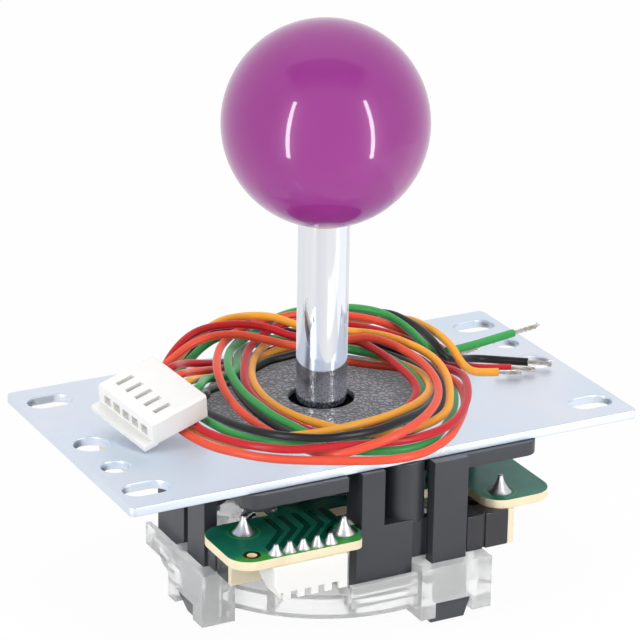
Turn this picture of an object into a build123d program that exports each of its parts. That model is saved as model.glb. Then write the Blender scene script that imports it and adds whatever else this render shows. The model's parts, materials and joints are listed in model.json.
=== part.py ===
from build123d import *
import os
from math import atan2, degrees, pi, radians, sqrt, tan

# An arcade joystick lever: a ball-topped shaft that tilts in a spherical seat under a steel
# mounting plate. A centring spring holds it upright, and four hinge-lever switches on a
# pinwheel-shaped board sense the tilt. A clear gate snaps on below and limits the travel.
# Millimetres. The origin is on the shaft's axis at the plate's top face, +X runs along the
# plate's long side, +Y to the back and +Z up to the ball.

# Mounting plate
plate_length = 95.0
plate_width = 53.0
plate_thickness = 1.6
plate_corner = 1.0
plate_bore_r = 11.0
slot_inset_x = 5.5
slot_inset_y = 6.5
slot_length = 8.0
slot_width = 5.0
side_hole_inset = 4.5
side_hole_y = 10.2
side_hole_r = 2.9
side_hole_small_r = 2.4

# Lever: ball, shaft and pivot
ball_r = 17.5
ball_height = 50.0
insert_r = 4.8
insert_length = 13.0
stud_r = 3.0
stud_length = 11.0
shaft_r = 4.4
spindle_r = 3.5
spindle_end = -29.0
shaft_edge = 0.5
driver_slot_width = 1.2
driver_slot_depth = 1.4
pivot_height = -4.5
pivot_r = 7.0
pivot_crown = 3.4
pivot_foot = 4.5
thread_gap = 0.05
run_gap = 0.05
seat_gap = 0.15

# Actuator, retaining ring and spring
flange_top = -11.7
flange_r = 11.6
flange_thickness = 1.0
actuator_r = 8.0
actuator_length = 8.3
actuator_edge = 0.6
ring_groove_depth = 0.7
ring_r = 5.6
ring_thickness = 0.8
ring_mouth = 5.2
spring_wire = 1.2
spring_mean_r = 10.6
spring_turns = 3.5

# Dust washer that lies on the plate
washer_r = 20.0
washer_thickness = 1.0
washer_bore_r = 5.7

# Housing
deck_half = 27.5
deck_thickness = 2.5
deck_corner = 2.5
deck_notch_run = 1.6
deck_notch_depth = 4.3
hub_r = 9.4
hub_depth = 7.8
hub_edge = 1.5
screw_offset = 11.5
post_r = 2.8
screw_r = 1.5
screw_head_r = 2.8
screw_length = 7.0
block_clearance = 0.8
block_right = 3.2
block_top = -11.5
block_thickness = 2.6
rib_inset = 0.9
rib_right = -2.2
rib_depth = 5.5
boss_x = 3.2
boss_inset = 4.0
boss_r = 3.7
boss_end = -12.4
leg_left = 6.6
leg_width = 6.5
leg_stand = 0.9
leg_thickness = 2.4
hook_top = -26.5
hook_end = -31.0
hook_reach = 1.7
hook_nose = 0.5
web_reach = 4.8
web_outer_inset = 1.5
web_thickness = 1.6
web_end = -19.3
foot_boss_inset = (5.3, 6.8)
foot_boss_r = 3.5
foot_boss_depth = 2.4
foot_boss_taper = 5.0

# Circuit board
board_half = 31.0
board_tongue_depth = 13.0
board_tongue_cut = 3.3
board_tongue_gap = 0.3
front_tongue_depth = 15.3
board_thickness = 1.6
board_corner = 4.0
board_end_corner = 1.5
board_bore_r = 14.3
board_top = -11.4
spare_hole_inset = (3.9, 2.6)
spare_hole_r = 0.8

# Hinge-lever switches, given for the front one
switch_overhang = 0.5
switch_length = 19.8
switch_outer = -22.6
switch_depth = 9.2
switch_height = 6.4
switch_base_thickness = 1.2
terminal_inset = (4.0, 0.6)
front_terminal_inset = (3.5, 2.7)
terminal_inner_inset = (11.5, 0.4)
terminal_r = 0.4
mount_hole_r = 1.2
mount_hole_pitch = 9.5
case_groove_inset = 3.4
case_groove_width = 0.5
case_groove_depth = 0.4
arm_hinge_inset = 3.2
arm_length = 26.0
arm_angle = 8.3
arm_thickness = 0.35
arm_top = -15.2
arm_width = 2.0
hinge_pin_r = 0.45
hinge_lug_height = 0.9
hinge_lug_width = 1.8
hinge_lug_reach = 1.7
plunger_inset = 9.0
plunger_r = 0.9
plunger_depth = 1.6
plunger_gap = 0.3
plunger_travel = 0.3

# Header for the harness, under the front tongue
header_inset = 3.4
header_length = 13.4
header_clearance = 3.4
header_depth = 5.6
header_height = 6.0
header_wall = 0.7
header_roof = 1.2
header_slant = 1.4
header_slant_height = 3.0
header_notch_width = 1.2
header_notch_height = 1.3
contact_count = 5
contact_pitch = 2.5
contact_shift = -0.5
header_pin_inset = 2.1
header_pin_r = 0.4
header_pin_length = 4.4

# Solder
solder_small_r = 1.2
solder_small_height = 2.0
solder_large_r = 1.9
solder_large_height = 2.9
solder_tip_r = 0.4
solder_hollow = 0.3
anchor_joint_inset = (1.95, 4.0)

# Clear gate
gate_top = -23.2
gate_stand = 0.5
gate_deck = 1.6
gate_end = -27.6
gate_rim = 2.0
gate_well_r = 14.2
gate_well_wall = 2.2
gate_ledge = 1.3
gate_ledge_height = 1.4
gate_rib = 1.4
gate_rib_count = 12
gate_rib_start = 15.0
ear_side_wall = 3.1
ear_width = 13.5
ear_wall = 2.2
ear_depth = 6.1
ear_top = -19.7
ear_end = -29.0
leg_gap = 0.3
latch_gap = 0.2
fence_left = -9.0
fence_right = 5.0
fence_thickness = 1.0
fence_gap = 0.6
fence_top = -20.8
gate_insert_gap = 0.2
gate_insert_height = 3.0
gate_square = 13.5
gate_square_corner = 2.0

# Harness: plug, loose coil round the shaft, and five stripped tails
plug_at = (-36.46, -7.39, 0.25)
plug_yaw = 11.6
plug_pitch = 12.2
plug_roll = 10.9
plug_row = 14.8
plug_depth = 11.4
plug_height = 4.8
plug_lip = 1.8
plug_lip_height = 1.0
plug_lip_overlap = 1.0
plug_edge = 0.5
plug_cell = 1.7
plug_cell_depth = 7.5
plug_window_width = 0.9
plug_window_length = 3.4
plug_window_back = 2.2
plug_contact_gap = 0.25
plug_contact_length = 5.0
wire_r = 0.8
strand_r = 0.45
bend_share = 0.45
coil_centre = (-1.0, -0.5)
coil_reach_x = 26.5
coil_reach_y = 28.0
coil_inner_centre = (1.5, 0.0)
coil_inner_x = 14.5
coil_inner_y = 14.0
coil_gap = 0.3
coil_front_height = 4.8
coil_back_height = 9.6

# Centre lines of the tails from the coil to the end of the insulation, and the bare strands
tail_routes = {
    "green": [(25.0, 1.5, 4.4), (32.9, 2.6, 4.4), (40.7, 4.15, 4.4)],
    "orange": [(25.0, 2.35, 2.6), (27.1, 2.75, 2.6), (29.2, 3.35, 2.6)],
    "black": [(24.4, 6.5, 1.1), (32.8, 3.3, 1.1), (40.3, -1.94, 1.1)],
    "red": [(25.1, 1.7, 1.1), (30.8, -0.3, 1.1), (36.1, -3.1, 1.1)],
    "yellow": [(25.2, -0.2, 1.1), (29.2, -1.85, 1.1), (33.2, -3.8, 1.1)],
}
strand_lengths = {"green": 6.1, "orange": 5.3, "black": 4.2, "red": 4.3, "yellow": 4.0}

# Heights and places worked out from the sizes above
slot_pitch_x = plate_length - 2 * slot_inset_x
slot_pitch_y = plate_width - 2 * slot_inset_y
side_hole_x = plate_length / 2 - side_hole_inset
switch_left = -deck_half - switch_overhang
block_left = switch_left + switch_length + block_clearance
rib_left = block_left + rib_inset
deck_notch_left = block_left - deck_notch_run
boss_y = boss_inset - deck_half
leg_outer = -deck_half - leg_stand
foot_boss_at = (foot_boss_inset[0] - deck_half, foot_boss_inset[1] - deck_half)
board_tongue_end = block_left - board_tongue_gap
board_tongue_start = board_tongue_cut - board_half
board_core_half = board_half - board_tongue_depth
anchor_joint_at = (board_tongue_end - anchor_joint_inset[0], anchor_joint_inset[1] - board_half)
spare_hole_at = (spare_hole_inset[0] - board_half, spare_hole_inset[1] - board_half)
header_left = switch_left + header_inset
header_front = switch_outer - header_clearance - header_depth
header_pin_y = header_front + header_pin_inset
gate_half = deck_half + gate_stand
ear_left = leg_left - ear_side_wall
ear_outer = leg_outer - ear_wall
ear_inner = ear_outer + ear_depth
ball_foot = ball_height - sqrt(ball_r**2 - shaft_r**2)
pivot_top = pivot_height + pivot_crown
shoulder = pivot_top + run_gap
deck_top = -plate_thickness
deck_bottom = deck_top - deck_thickness
seat_r = pivot_r + seat_gap
actuator_end = flange_top - actuator_length
ring_top = actuator_end - run_gap
spring_top = deck_bottom - run_gap
board_bottom = board_top - board_thickness
switch_inner = switch_outer + switch_depth
switch_split = switch_outer + switch_base_thickness
arm_hinge_x = switch_left + arm_hinge_inset
arm_hinge_y = switch_inner + hinge_lug_reach / 2
plunger_x = switch_left + plunger_inset
terminal_at = (switch_left + terminal_inset[0], switch_outer + terminal_inset[1])
front_terminal_at = (switch_left + front_terminal_inset[0], switch_outer + front_terminal_inset[1])
terminal_inner_at = (switch_left + terminal_inner_inset[0], switch_inner - terminal_inner_inset[1])
switch_centre_x = switch_left + switch_length / 2
leg_centre_x = leg_left + leg_width / 2
block_outer = -deck_half
contact_centre_x = header_left + header_length / 2 + contact_shift
contact_steps = [i - (contact_count - 1) / 2 for i in range(contact_count)]
contact_xs = [contact_centre_x + contact_pitch * step for step in contact_steps]
contact_places = [(x, header_pin_y) for x in contact_xs]
header_bottom = board_bottom - header_height
coil_mid_height = (coil_front_height + coil_back_height) / 2
ledge_top = gate_end + gate_ledge_height
web_outer = block_outer + web_outer_inset

SIDES = {"front": 0, "right": 90, "back": 180, "left": 270}

os.makedirs("parts", exist_ok=True)


def finish(builder, name):
    """Label a finished piece and write it to its own file."""
    builder.part.label = name
    export_step(builder.part, f"parts/{name}.step")
    solids = builder.part.solids()
    print(f"{name}: {len(solids)} solid(s), {builder.part.volume:.1f} mm3")


def side_plane(turn, height):
    """The level plane at a height, turned to one of the four sides."""
    return Plane.XY.rotated((0, 0, turn)).offset(height)


def plunger_plane(turn, reach):
    """The upright plane across a switch's plunger, facing the shaft, at a distance in local Y."""
    facing = Plane((plunger_x, reach, plunger_height), x_dir=(1, 0, 0), z_dir=(0, 1, 0))
    return Plane(Location((0, 0, 0), (0, 0, turn)) * facing.location)


def span(low, high):
    """The middle and the length of an interval."""
    return (low + high) / 2, high - low


def shroud_points(wall, roof):
    """The corners of the header's front view, drawn in by a wall at the sides and a roof on top."""
    left = header_left + wall
    right = header_left + header_length - wall
    return [
        (left, board_bottom - roof),
        (right, board_bottom - roof),
        (right, header_bottom),
        (left + header_slant, header_bottom),
        (left, header_bottom + header_slant_height),
    ]


def turned(point, turn):
    """A point of the front side, turned about the shaft to another side."""
    place = Location((0, 0, 0), (0, 0, turn)) * Location((*point, 0))
    return (place.position.X, place.position.Y)


def solder_profile(base_r, height):
    """Half the outline of a solder joint: a hollow slope from its base up to a blunt tip."""
    middle = ((base_r + solder_tip_r) / 2, height / 2)
    with BuildSketch(Plane.XZ) as profile:
        with BuildLine():
            Polyline((solder_tip_r, height), (0, height), (0, 0), (base_r, 0))
            ThreePointArc(
                (base_r, 0),
                (middle[0] - solder_hollow * base_r / 2, middle[1] - solder_hollow * height / 2),
                (solder_tip_r, height),
            )
        make_face()
    return profile.sketch


def bend_radii(points):
    """Each corner's radius: the largest that takes up a set share of its shorter run."""
    places = [Vector(*point) for point in points]
    runs = [after - before for before, after in zip(places, places[1:])]
    radii = []
    for before, after in zip(runs, runs[1:]):
        half_turn = radians(before.get_angle(after)) / 2
        radii.append(bend_share * min(before.length, after.length) / tan(half_turn))
    return radii


# Mounting plate
with BuildPart() as mounting_plate:
    with BuildSketch(Plane.XY):
        RectangleRounded(plate_length, plate_width, plate_corner)
        Circle(plate_bore_r, mode=Mode.SUBTRACT)
        with GridLocations(slot_pitch_x, slot_pitch_y, 2, 2):
            SlotOverall(slot_length, slot_width, mode=Mode.SUBTRACT)
        with PolarLocations(side_hole_x, 2):
            Circle(side_hole_r, mode=Mode.SUBTRACT)
        with Locations((side_hole_x, side_hole_y), (-side_hole_x, -side_hole_y)):
            Circle(side_hole_small_r, mode=Mode.SUBTRACT)
    extrude(amount=-plate_thickness)
    with Locations(Plane.XY):
        with GridLocations(2 * screw_offset, 2 * screw_offset, 2, 2):
            CounterSinkHole(screw_r + run_gap, screw_head_r + run_gap)
finish(mounting_plate, "mounting_plate")

# Countersunk screws that hold the housing under the plate
with BuildPart() as plate_screws:
    with BuildSketch(Plane.XZ) as screw_profile:
        with BuildLine():
            Polyline(
                (0, 0),
                (screw_head_r, 0),
                (screw_r, screw_r - screw_head_r),
                (screw_r, -screw_length),
                (0, -screw_length),
                close=True,
            )
        make_face()
    with GridLocations(2 * screw_offset, 2 * screw_offset, 2, 2):
        add(revolve(screw_profile.sketch, Axis.Z, mode=Mode.PRIVATE))
finish(plate_screws, "plate_screws")

# Housing: deck, hub with the spherical seat, and a pinwheel of ribs, bosses and hooked legs
with BuildPart() as housing:
    with BuildSketch(Plane.XY.offset(deck_top)):
        RectangleRounded(2 * deck_half, 2 * deck_half, deck_corner)
        with PolarLocations(0, 4):
            notch_x, notch_width = span(deck_notch_left, leg_left)
            with Locations((notch_x, -deck_half)):
                Rectangle(notch_width, 2 * deck_notch_depth, mode=Mode.SUBTRACT)
    extrude(amount=-deck_thickness)
    with BuildSketch(Plane.XY.offset(deck_top)):
        Circle(hub_r)
    extrude(amount=-hub_depth)
    fillet(housing.edges().group_by(Axis.Z)[0], hub_edge)
    with BuildSketch(Plane.XY.offset(deck_bottom)):
        with GridLocations(2 * screw_offset, 2 * screw_offset, 2, 2):
            Circle(post_r)
    extrude(amount=board_top - deck_bottom)
    with BuildSketch(Plane.XY.offset(deck_bottom)):
        with PolarLocations(0, 2):
            with Locations(foot_boss_at):
                Circle(foot_boss_r)
    extrude(amount=-foot_boss_depth, taper=foot_boss_taper)
    with BuildSketch(Plane.XY.offset(deck_top)):
        with PolarLocations(0, 4):
            rib_x, rib_width = span(rib_left, rib_right)
            with Locations((rib_x, block_outer)):
                Rectangle(rib_width, rib_depth, align=(Align.CENTER, Align.MIN))
    extrude(amount=block_top - deck_top)
    with BuildSketch(Plane.XY.offset(block_top)):
        with PolarLocations(0, 4):
            block_x, block_width = span(block_left, block_right)
            with Locations((block_x, block_outer)):
                Rectangle(block_width, block_thickness, align=(Align.CENTER, Align.MIN))
    extrude(amount=gate_top - block_top)
    with BuildSketch(Plane.XY.offset(deck_top)):
        with PolarLocations(0, 4):
            with Locations((boss_x, boss_y)):
                Circle(boss_r)
    extrude(amount=boss_end - deck_top)
    with BuildSketch(Plane.XY.offset(boss_end)):
        with PolarLocations(0, 4):
            with Locations((block_right - web_thickness, web_outer)):
                Rectangle(web_reach + web_thickness, web_thickness, align=(Align.MIN, Align.MIN))
    extrude(amount=web_end - boss_end)
    with BuildSketch(Plane.XY.offset(deck_top)):
        with PolarLocations(0, 4):
            with Locations((leg_centre_x, leg_outer)):
                Rectangle(leg_width, leg_thickness, align=(Align.CENTER, Align.MIN))
    extrude(amount=hook_end - deck_top)
    for turn in SIDES.values():
        leg_side = Plane(Location((0, 0, 0), (0, 0, turn)) * Plane.YZ.offset(leg_left).location)
        with BuildSketch(leg_side):
            with BuildLine():
                Polyline(
                    (leg_outer, hook_top),
                    (leg_outer - hook_reach, hook_top),
                    (leg_outer - hook_reach, hook_top - hook_nose),
                    (leg_outer, hook_end),
                    close=True,
                )
            make_face()
        extrude(amount=leg_width)
    with Locations((0, 0, pivot_height)):
        Sphere(seat_r, mode=Mode.SUBTRACT)
        Cylinder(seat_r, -pivot_height, align=(Align.CENTER, Align.CENTER, Align.MIN), mode=Mode.SUBTRACT)
    with Locations(Plane.XY.offset(deck_top)):
        with GridLocations(2 * screw_offset, 2 * screw_offset, 2, 2):
            Hole(screw_r, screw_length + deck_top)
finish(housing, "housing")

# Pivot: a ball with flat ends that rocks in the housing's seat
with BuildPart() as pivot_ball:
    with Locations((0, 0, pivot_height)):
        Sphere(pivot_r)
    split(bisect_by=Plane.XY.offset(pivot_top), keep=Keep.BOTTOM)
    split(bisect_by=Plane.XY.offset(pivot_height - pivot_foot), keep=Keep.TOP)
    Hole(spindle_r + run_gap)
finish(pivot_ball, "pivot_ball")

# Actuator: a flanged sleeve that presses the switch levers and carries the spring
with BuildPart() as actuator:
    with BuildSketch(Plane.XY.offset(flange_top)):
        Circle(flange_r)
    extrude(amount=-flange_thickness)
    with BuildSketch(Plane.XY.offset(flange_top)):
        Circle(actuator_r)
    extrude(amount=-actuator_length)
    chamfer(actuator.edges().group_by(Axis.Z)[0], actuator_edge)
    with Locations(Plane.XY.offset(flange_top)):
        Hole(spindle_r + run_gap)
finish(actuator, "actuator")

# Shaft: thick chromed upper part, thin spindle, threaded stud, ring groove and driver slot
with BuildPart() as shaft:
    with BuildSketch(Plane.XZ):
        with BuildLine():
            Polyline(
                (0, ball_foot + stud_length),
                (stud_r - shaft_edge, ball_foot + stud_length),
                (stud_r, ball_foot + stud_length - shaft_edge),
                (stud_r, ball_foot),
                (shaft_r, ball_foot),
                (shaft_r, shoulder),
                (spindle_r, shoulder),
                (spindle_r, ring_top),
                (spindle_r - ring_groove_depth, ring_top),
                (spindle_r - ring_groove_depth, ring_top - ring_thickness),
                (spindle_r, ring_top - ring_thickness),
                (spindle_r, spindle_end + shaft_edge),
                (spindle_r - shaft_edge, spindle_end),
                (0, spindle_end),
                close=True,
            )
        make_face()
    revolve(axis=Axis.Z)
    with BuildSketch(Plane.XY.offset(spindle_end)):
        Rectangle(4 * spindle_r, driver_slot_width)
    extrude(amount=driver_slot_depth, mode=Mode.SUBTRACT)
finish(shaft, "shaft")

# Retaining ring in the spindle's groove
with BuildPart() as retaining_ring:
    with BuildSketch(Plane.XY.offset(ring_top)):
        Circle(ring_r)
        Circle(spindle_r - ring_groove_depth, mode=Mode.SUBTRACT)
        Rectangle(2 * ring_r, ring_mouth, align=(Align.MIN, Align.CENTER), mode=Mode.SUBTRACT)
    extrude(amount=-ring_thickness)
finish(retaining_ring, "retaining_ring")

# Ball with its threaded metal insert
with BuildPart() as ball_top:
    with Locations((0, 0, ball_height)):
        Sphere(ball_r)
    split(bisect_by=Plane.XY.offset(ball_foot), keep=Keep.TOP)
    with Locations(Plane.XY.offset(ball_foot)):
        Cylinder(
            insert_r,
            insert_length,
            align=(Align.CENTER, Align.CENTER, Align.MIN),
            mode=Mode.SUBTRACT,
        )
finish(ball_top, "ball_top")

with BuildPart() as ball_insert:
    with BuildSketch(Plane.XY.offset(ball_foot)):
        Circle(insert_r)
        Circle(stud_r + thread_gap, mode=Mode.SUBTRACT)
    extrude(amount=insert_length)
finish(ball_insert, "ball_insert")

# Centring spring between the deck and the actuator's flange
with BuildPart() as centring_spring:
    spring_height = spring_top - flange_top - run_gap - spring_wire
    with BuildLine() as spring_line:
        Helix(
            spring_height / spring_turns,
            spring_height,
            spring_mean_r,
            center=(0, 0, flange_top + run_gap + spring_wire / 2),
        )
    with BuildSketch(Plane(spring_line.line @ 0, z_dir=spring_line.line % 0)):
        Circle(spring_wire / 2)
    sweep(is_frenet=True)
finish(centring_spring, "centring_spring")

# Dust washer
with BuildPart() as dust_washer:
    with BuildSketch(Plane.XY):
        Circle(washer_r)
        Circle(washer_bore_r, mode=Mode.SUBTRACT)
    extrude(amount=washer_thickness)
finish(dust_washer, "dust_washer")

# Terminals of the four switches: an outer and an inner pin each
outer_terminals = [
    front_terminal_at if side == "front" else turned(terminal_at, turn) for side, turn in SIDES.items()
]
inner_terminals = [turned(terminal_inner_at, turn) for turn in SIDES.values()]
terminal_places = outer_terminals + inner_terminals

# Circuit board: a bored square core with four tongues set round it like a pinwheel
with BuildPart() as circuit_board:
    with BuildSketch(Plane.XY.offset(board_top)) as board_outline:
        Rectangle(2 * board_core_half, 2 * board_core_half)
        with PolarLocations(0, 4):
            with Locations((board_tongue_start, -board_half)):
                Rectangle(
                    board_tongue_end - board_tongue_start,
                    board_tongue_depth,
                    align=(Align.MIN, Align.MIN),
                )
        with Locations((-board_half, -board_half)):
            Rectangle(board_half + board_tongue_end, front_tongue_depth, align=(Align.MIN, Align.MIN))
        end_corners = board_outline.vertices().sort_by(lambda v: v.X**2 + v.Y**2)[-12:-8]
        fillet(end_corners, board_end_corner)
        far_corners = board_outline.vertices().sort_by(lambda v: v.X**2 + v.Y**2)[-8:]
        fillet(far_corners, board_corner)
        Circle(board_bore_r, mode=Mode.SUBTRACT)
        with Locations(*terminal_places):
            Circle(terminal_r + run_gap, mode=Mode.SUBTRACT)
        with Locations(*contact_places):
            Circle(header_pin_r + run_gap, mode=Mode.SUBTRACT)
        with Locations(spare_hole_at):
            Circle(spare_hole_r, mode=Mode.SUBTRACT)
    extrude(amount=-board_thickness)
finish(circuit_board, "circuit_board")

# Solder: pointed fillets where the pins come through the board
large_joint = revolve(solder_profile(solder_large_r, solder_large_height), Axis.Z)
small_joint = revolve(solder_profile(solder_small_r, solder_small_height), Axis.Z)
with BuildPart() as solder_joints:
    with Locations(Plane.XY.offset(board_top)):
        with Locations(anchor_joint_at, *outer_terminals):
            add(large_joint)
        with Locations(*contact_places, *inner_terminals):
            add(small_joint)
finish(solder_joints, "solder_joints")

# Switch terminals, each a round pin through the board
with BuildPart() as switch_terminals:
    with BuildSketch(Plane.XY.offset(board_top)):
        with Locations(*terminal_places):
            Circle(terminal_r)
    extrude(amount=-board_thickness)
finish(switch_terminals, "switch_terminals")

# Four switches: cream base, black case, hinged arm and plunger
lug_top = arm_top + run_gap + hinge_lug_height
lug_low = arm_top - arm_width - run_gap - hinge_lug_height
arm_rise = tan(radians(arm_angle)) * (plunger_x - arm_hinge_x)
plunger_tip = arm_hinge_y + arm_rise - arm_thickness / 2 - plunger_gap
plunger_height = arm_top - arm_width / 2
for side, turn in SIDES.items():
    with BuildPart() as switch_base:
        with BuildSketch(side_plane(turn, board_bottom)):
            with Locations((switch_centre_x, switch_outer)):
                Rectangle(switch_length, switch_base_thickness, align=(Align.CENTER, Align.MIN))
        extrude(amount=-switch_height)
    finish(switch_base, f"switch_base_{side}")

    with BuildPart() as switch_case:
        with BuildSketch(side_plane(turn, board_bottom)):
            with Locations((switch_centre_x, switch_split)):
                Rectangle(
                    switch_length,
                    switch_inner - switch_split,
                    align=(Align.CENTER, Align.MIN),
                )
            with Locations((switch_centre_x, (switch_split + switch_inner) / 2)):
                with GridLocations(mount_hole_pitch, 0, 2, 1):
                    Circle(mount_hole_r, mode=Mode.SUBTRACT)
            with Locations((switch_centre_x, switch_inner - case_groove_inset)):
                with GridLocations(switch_length, 0, 2, 1):
                    Rectangle(2 * case_groove_depth, case_groove_width, mode=Mode.SUBTRACT)
        extrude(amount=-switch_height)
        for lug_level in (lug_top, lug_low + hinge_lug_height):
            with BuildSketch(side_plane(turn, lug_level)):
                with Locations((arm_hinge_x, switch_inner)):
                    Rectangle(hinge_lug_width, hinge_lug_reach, align=(Align.CENTER, Align.MIN))
                with Locations((arm_hinge_x, arm_hinge_y)):
                    Circle(hinge_pin_r + run_gap, mode=Mode.SUBTRACT)
            extrude(amount=-hinge_lug_height)
        with BuildSketch(plunger_plane(turn, switch_inner)):
            Circle(plunger_r + run_gap)
        extrude(amount=-plunger_depth - plunger_travel - plunger_gap, mode=Mode.SUBTRACT)
    finish(switch_case, f"switch_case_{side}")

    with BuildPart() as switch_arm:
        with BuildSketch(side_plane(turn, arm_top)):
            with Locations((arm_hinge_x, arm_hinge_y)):
                Rectangle(
                    arm_length,
                    arm_thickness,
                    rotation=arm_angle,
                    align=(Align.MIN, Align.CENTER),
                )
        extrude(amount=-arm_width)
        with BuildSketch(side_plane(turn, lug_top)):
            with Locations((arm_hinge_x, arm_hinge_y)):
                Circle(hinge_pin_r)
        extrude(amount=lug_low - lug_top)
    finish(switch_arm, f"switch_arm_{side}")

    with BuildPart() as switch_plunger:
        with BuildSketch(plunger_plane(turn, plunger_tip)):
            Circle(plunger_r)
        extrude(amount=switch_inner - plunger_depth - plunger_tip)
    finish(switch_plunger, f"switch_plunger_{side}")

# Header under the front tongue: a shroud open below, with a comb along its front edge
with BuildPart() as header:
    with BuildSketch(Plane.XZ.offset(-header_front)):
        Polygon(*shroud_points(0, 0), align=None)
    extrude(amount=-header_depth)
    with BuildSketch(Plane.XZ.offset(-header_front - header_wall)):
        Polygon(*shroud_points(header_wall, header_roof), align=None)
    extrude(amount=2 * header_wall - header_depth, mode=Mode.SUBTRACT)
    with BuildSketch(Plane.XY.offset(header_bottom)):
        with Locations(*[(x, header_front) for x in contact_xs]):
            Rectangle(header_notch_width, 2 * header_wall)
    extrude(amount=header_notch_height, mode=Mode.SUBTRACT)
    with BuildSketch(Plane.XY.offset(board_bottom)):
        with Locations(*contact_places):
            Circle(header_pin_r + run_gap)
    extrude(amount=-header_roof, mode=Mode.SUBTRACT)
finish(header, "header")

with BuildPart() as header_pins:
    with BuildSketch(Plane.XY.offset(board_top)):
        with Locations(*contact_places):
            Circle(header_pin_r)
    extrude(amount=-header_pin_length)
finish(header_pins, "header_pins")

# Clear gate frame: deck, round rim, ribbed well for the insert, and an ear round each leg
fence_inner = block_outer - fence_gap
with BuildPart() as gate_frame:
    with BuildSketch(Plane.XY.offset(gate_top)):
        Circle(gate_half)
        with PolarLocations(0, 4):
            with Locations((fence_left, fence_inner - fence_thickness)):
                Rectangle(fence_right - fence_left, 2 * gate_rim, align=(Align.MIN, Align.MIN))
    extrude(amount=-gate_deck)
    with BuildSketch(Plane.XY.offset(gate_top)):
        Circle(gate_half)
        Circle(gate_half - gate_rim, mode=Mode.SUBTRACT)
        with PolarLocations(gate_half - gate_rim, gate_rib_count, start_angle=gate_rib_start):
            Rectangle(gate_half - gate_rim - gate_well_r, gate_rib, align=(Align.MAX, Align.CENTER))
        Circle(gate_well_r + gate_well_wall)
    extrude(amount=gate_end - gate_top)
    with BuildSketch(Plane.XY.offset(ear_top)):
        with PolarLocations(0, 4):
            with Locations((ear_left, ear_outer)):
                Rectangle(ear_width, ear_inner - ear_outer, align=(Align.MIN, Align.MIN))
    extrude(amount=ear_end - ear_top)
    with BuildSketch(Plane.XY.offset(gate_top)):
        with PolarLocations(0, 4):
            with Locations((fence_left, fence_inner)):
                Rectangle(fence_right - fence_left, fence_thickness, align=(Align.MIN, Align.MAX))
    extrude(amount=fence_top - gate_top)
    with BuildSketch(Plane.XY.offset(gate_top)):
        Circle(gate_well_r)
    extrude(amount=ledge_top - gate_top, mode=Mode.SUBTRACT)
    with BuildSketch(Plane.XY.offset(ear_top)):
        Circle(gate_well_r - gate_ledge)
        with PolarLocations(0, 4):
            with Locations((leg_left - leg_gap, leg_outer - leg_gap)):
                Rectangle(
                    leg_width + 2 * leg_gap,
                    leg_thickness + 2 * leg_gap,
                    align=(Align.MIN, Align.MIN),
                )
    extrude(amount=ear_end - ear_top, mode=Mode.SUBTRACT)
    with BuildSketch(Plane.XY.offset(hook_top + latch_gap)):
        with PolarLocations(0, 4):
            with Locations((leg_left - leg_gap, leg_outer - leg_gap)):
                Rectangle(
                    leg_width + 2 * leg_gap,
                    leg_outer - leg_gap - ear_outer,
                    align=(Align.MIN, Align.MAX),
                )
    extrude(amount=ear_end - hook_top - latch_gap, mode=Mode.SUBTRACT)
finish(gate_frame, "gate_frame")

# Gate insert with the square opening that stops the spindle
with BuildPart() as gate_insert:
    with BuildSketch(Plane.XY.offset(ledge_top)):
        Circle(gate_well_r - gate_insert_gap)
        RectangleRounded(gate_square, gate_square, gate_square_corner, mode=Mode.SUBTRACT)
    extrude(amount=gate_insert_height)
finish(gate_insert, "gate_insert")

# Plug of the harness, lying tilted with its wire end on the coil. Local X points to the
# wires, local Y along the row of contacts and local Z out of the windowed face.
plug_turn = Location((0, 0, 0), (0, -plug_pitch, 0)) * Location((0, 0, 0), (plug_roll, 0, 0))
plug_plane = Plane(Location(plug_at, (0, 0, plug_yaw)) * plug_turn)
plug_end = plug_lip + plug_depth
cell_places = [(plug_row / 2 + contact_pitch * step, plug_height / 2) for step in contact_steps]
mating_face = Plane(plug_plane.from_local_coords((plug_lip, 0, 0)), plug_plane.y_dir, plug_plane.x_dir)
wire_face = Plane(plug_plane.from_local_coords((plug_end, 0, 0)), plug_plane.y_dir, plug_plane.x_dir)
with BuildPart() as plug_housing:
    with BuildSketch(plug_plane):
        with Locations((plug_lip, 0)):
            Rectangle(plug_depth, plug_row, align=(Align.MIN, Align.MIN))
    extrude(amount=plug_height)
    fillet(plug_housing.edges().filter_by(Axis(plug_plane.origin, plug_plane.x_dir)), plug_edge)
    with BuildSketch(plug_plane):
        Rectangle(plug_lip + plug_lip_overlap, plug_row, align=(Align.MIN, Align.MIN))
    extrude(amount=plug_lip_height)
    with BuildSketch(mating_face):
        with Locations(*cell_places):
            Rectangle(plug_cell, plug_cell)
    extrude(amount=plug_cell_depth, mode=Mode.SUBTRACT)
    with BuildSketch(wire_face):
        with Locations(*cell_places):
            Circle(wire_r + run_gap)
    extrude(amount=plug_cell_depth - plug_depth, mode=Mode.SUBTRACT)
    with BuildSketch(plug_plane.offset(plug_height)):
        with Locations(*[(plug_lip + plug_window_back, row_at) for row_at, _ in cell_places]):
            Rectangle(plug_window_length, plug_window_width, align=(Align.MIN, Align.CENTER))
    extrude(amount=-plug_height / 2, mode=Mode.SUBTRACT)
finish(plug_housing, "plug_housing")

contact_size = plug_cell - 2 * plug_contact_gap
with BuildPart() as plug_contacts:
    with BuildSketch(mating_face.offset(plug_cell_depth - plug_contact_length)):
        with Locations(*cell_places):
            Rectangle(contact_size, contact_size)
    extrude(amount=plug_contact_length)
finish(plug_contacts, "plug_contacts")

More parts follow.
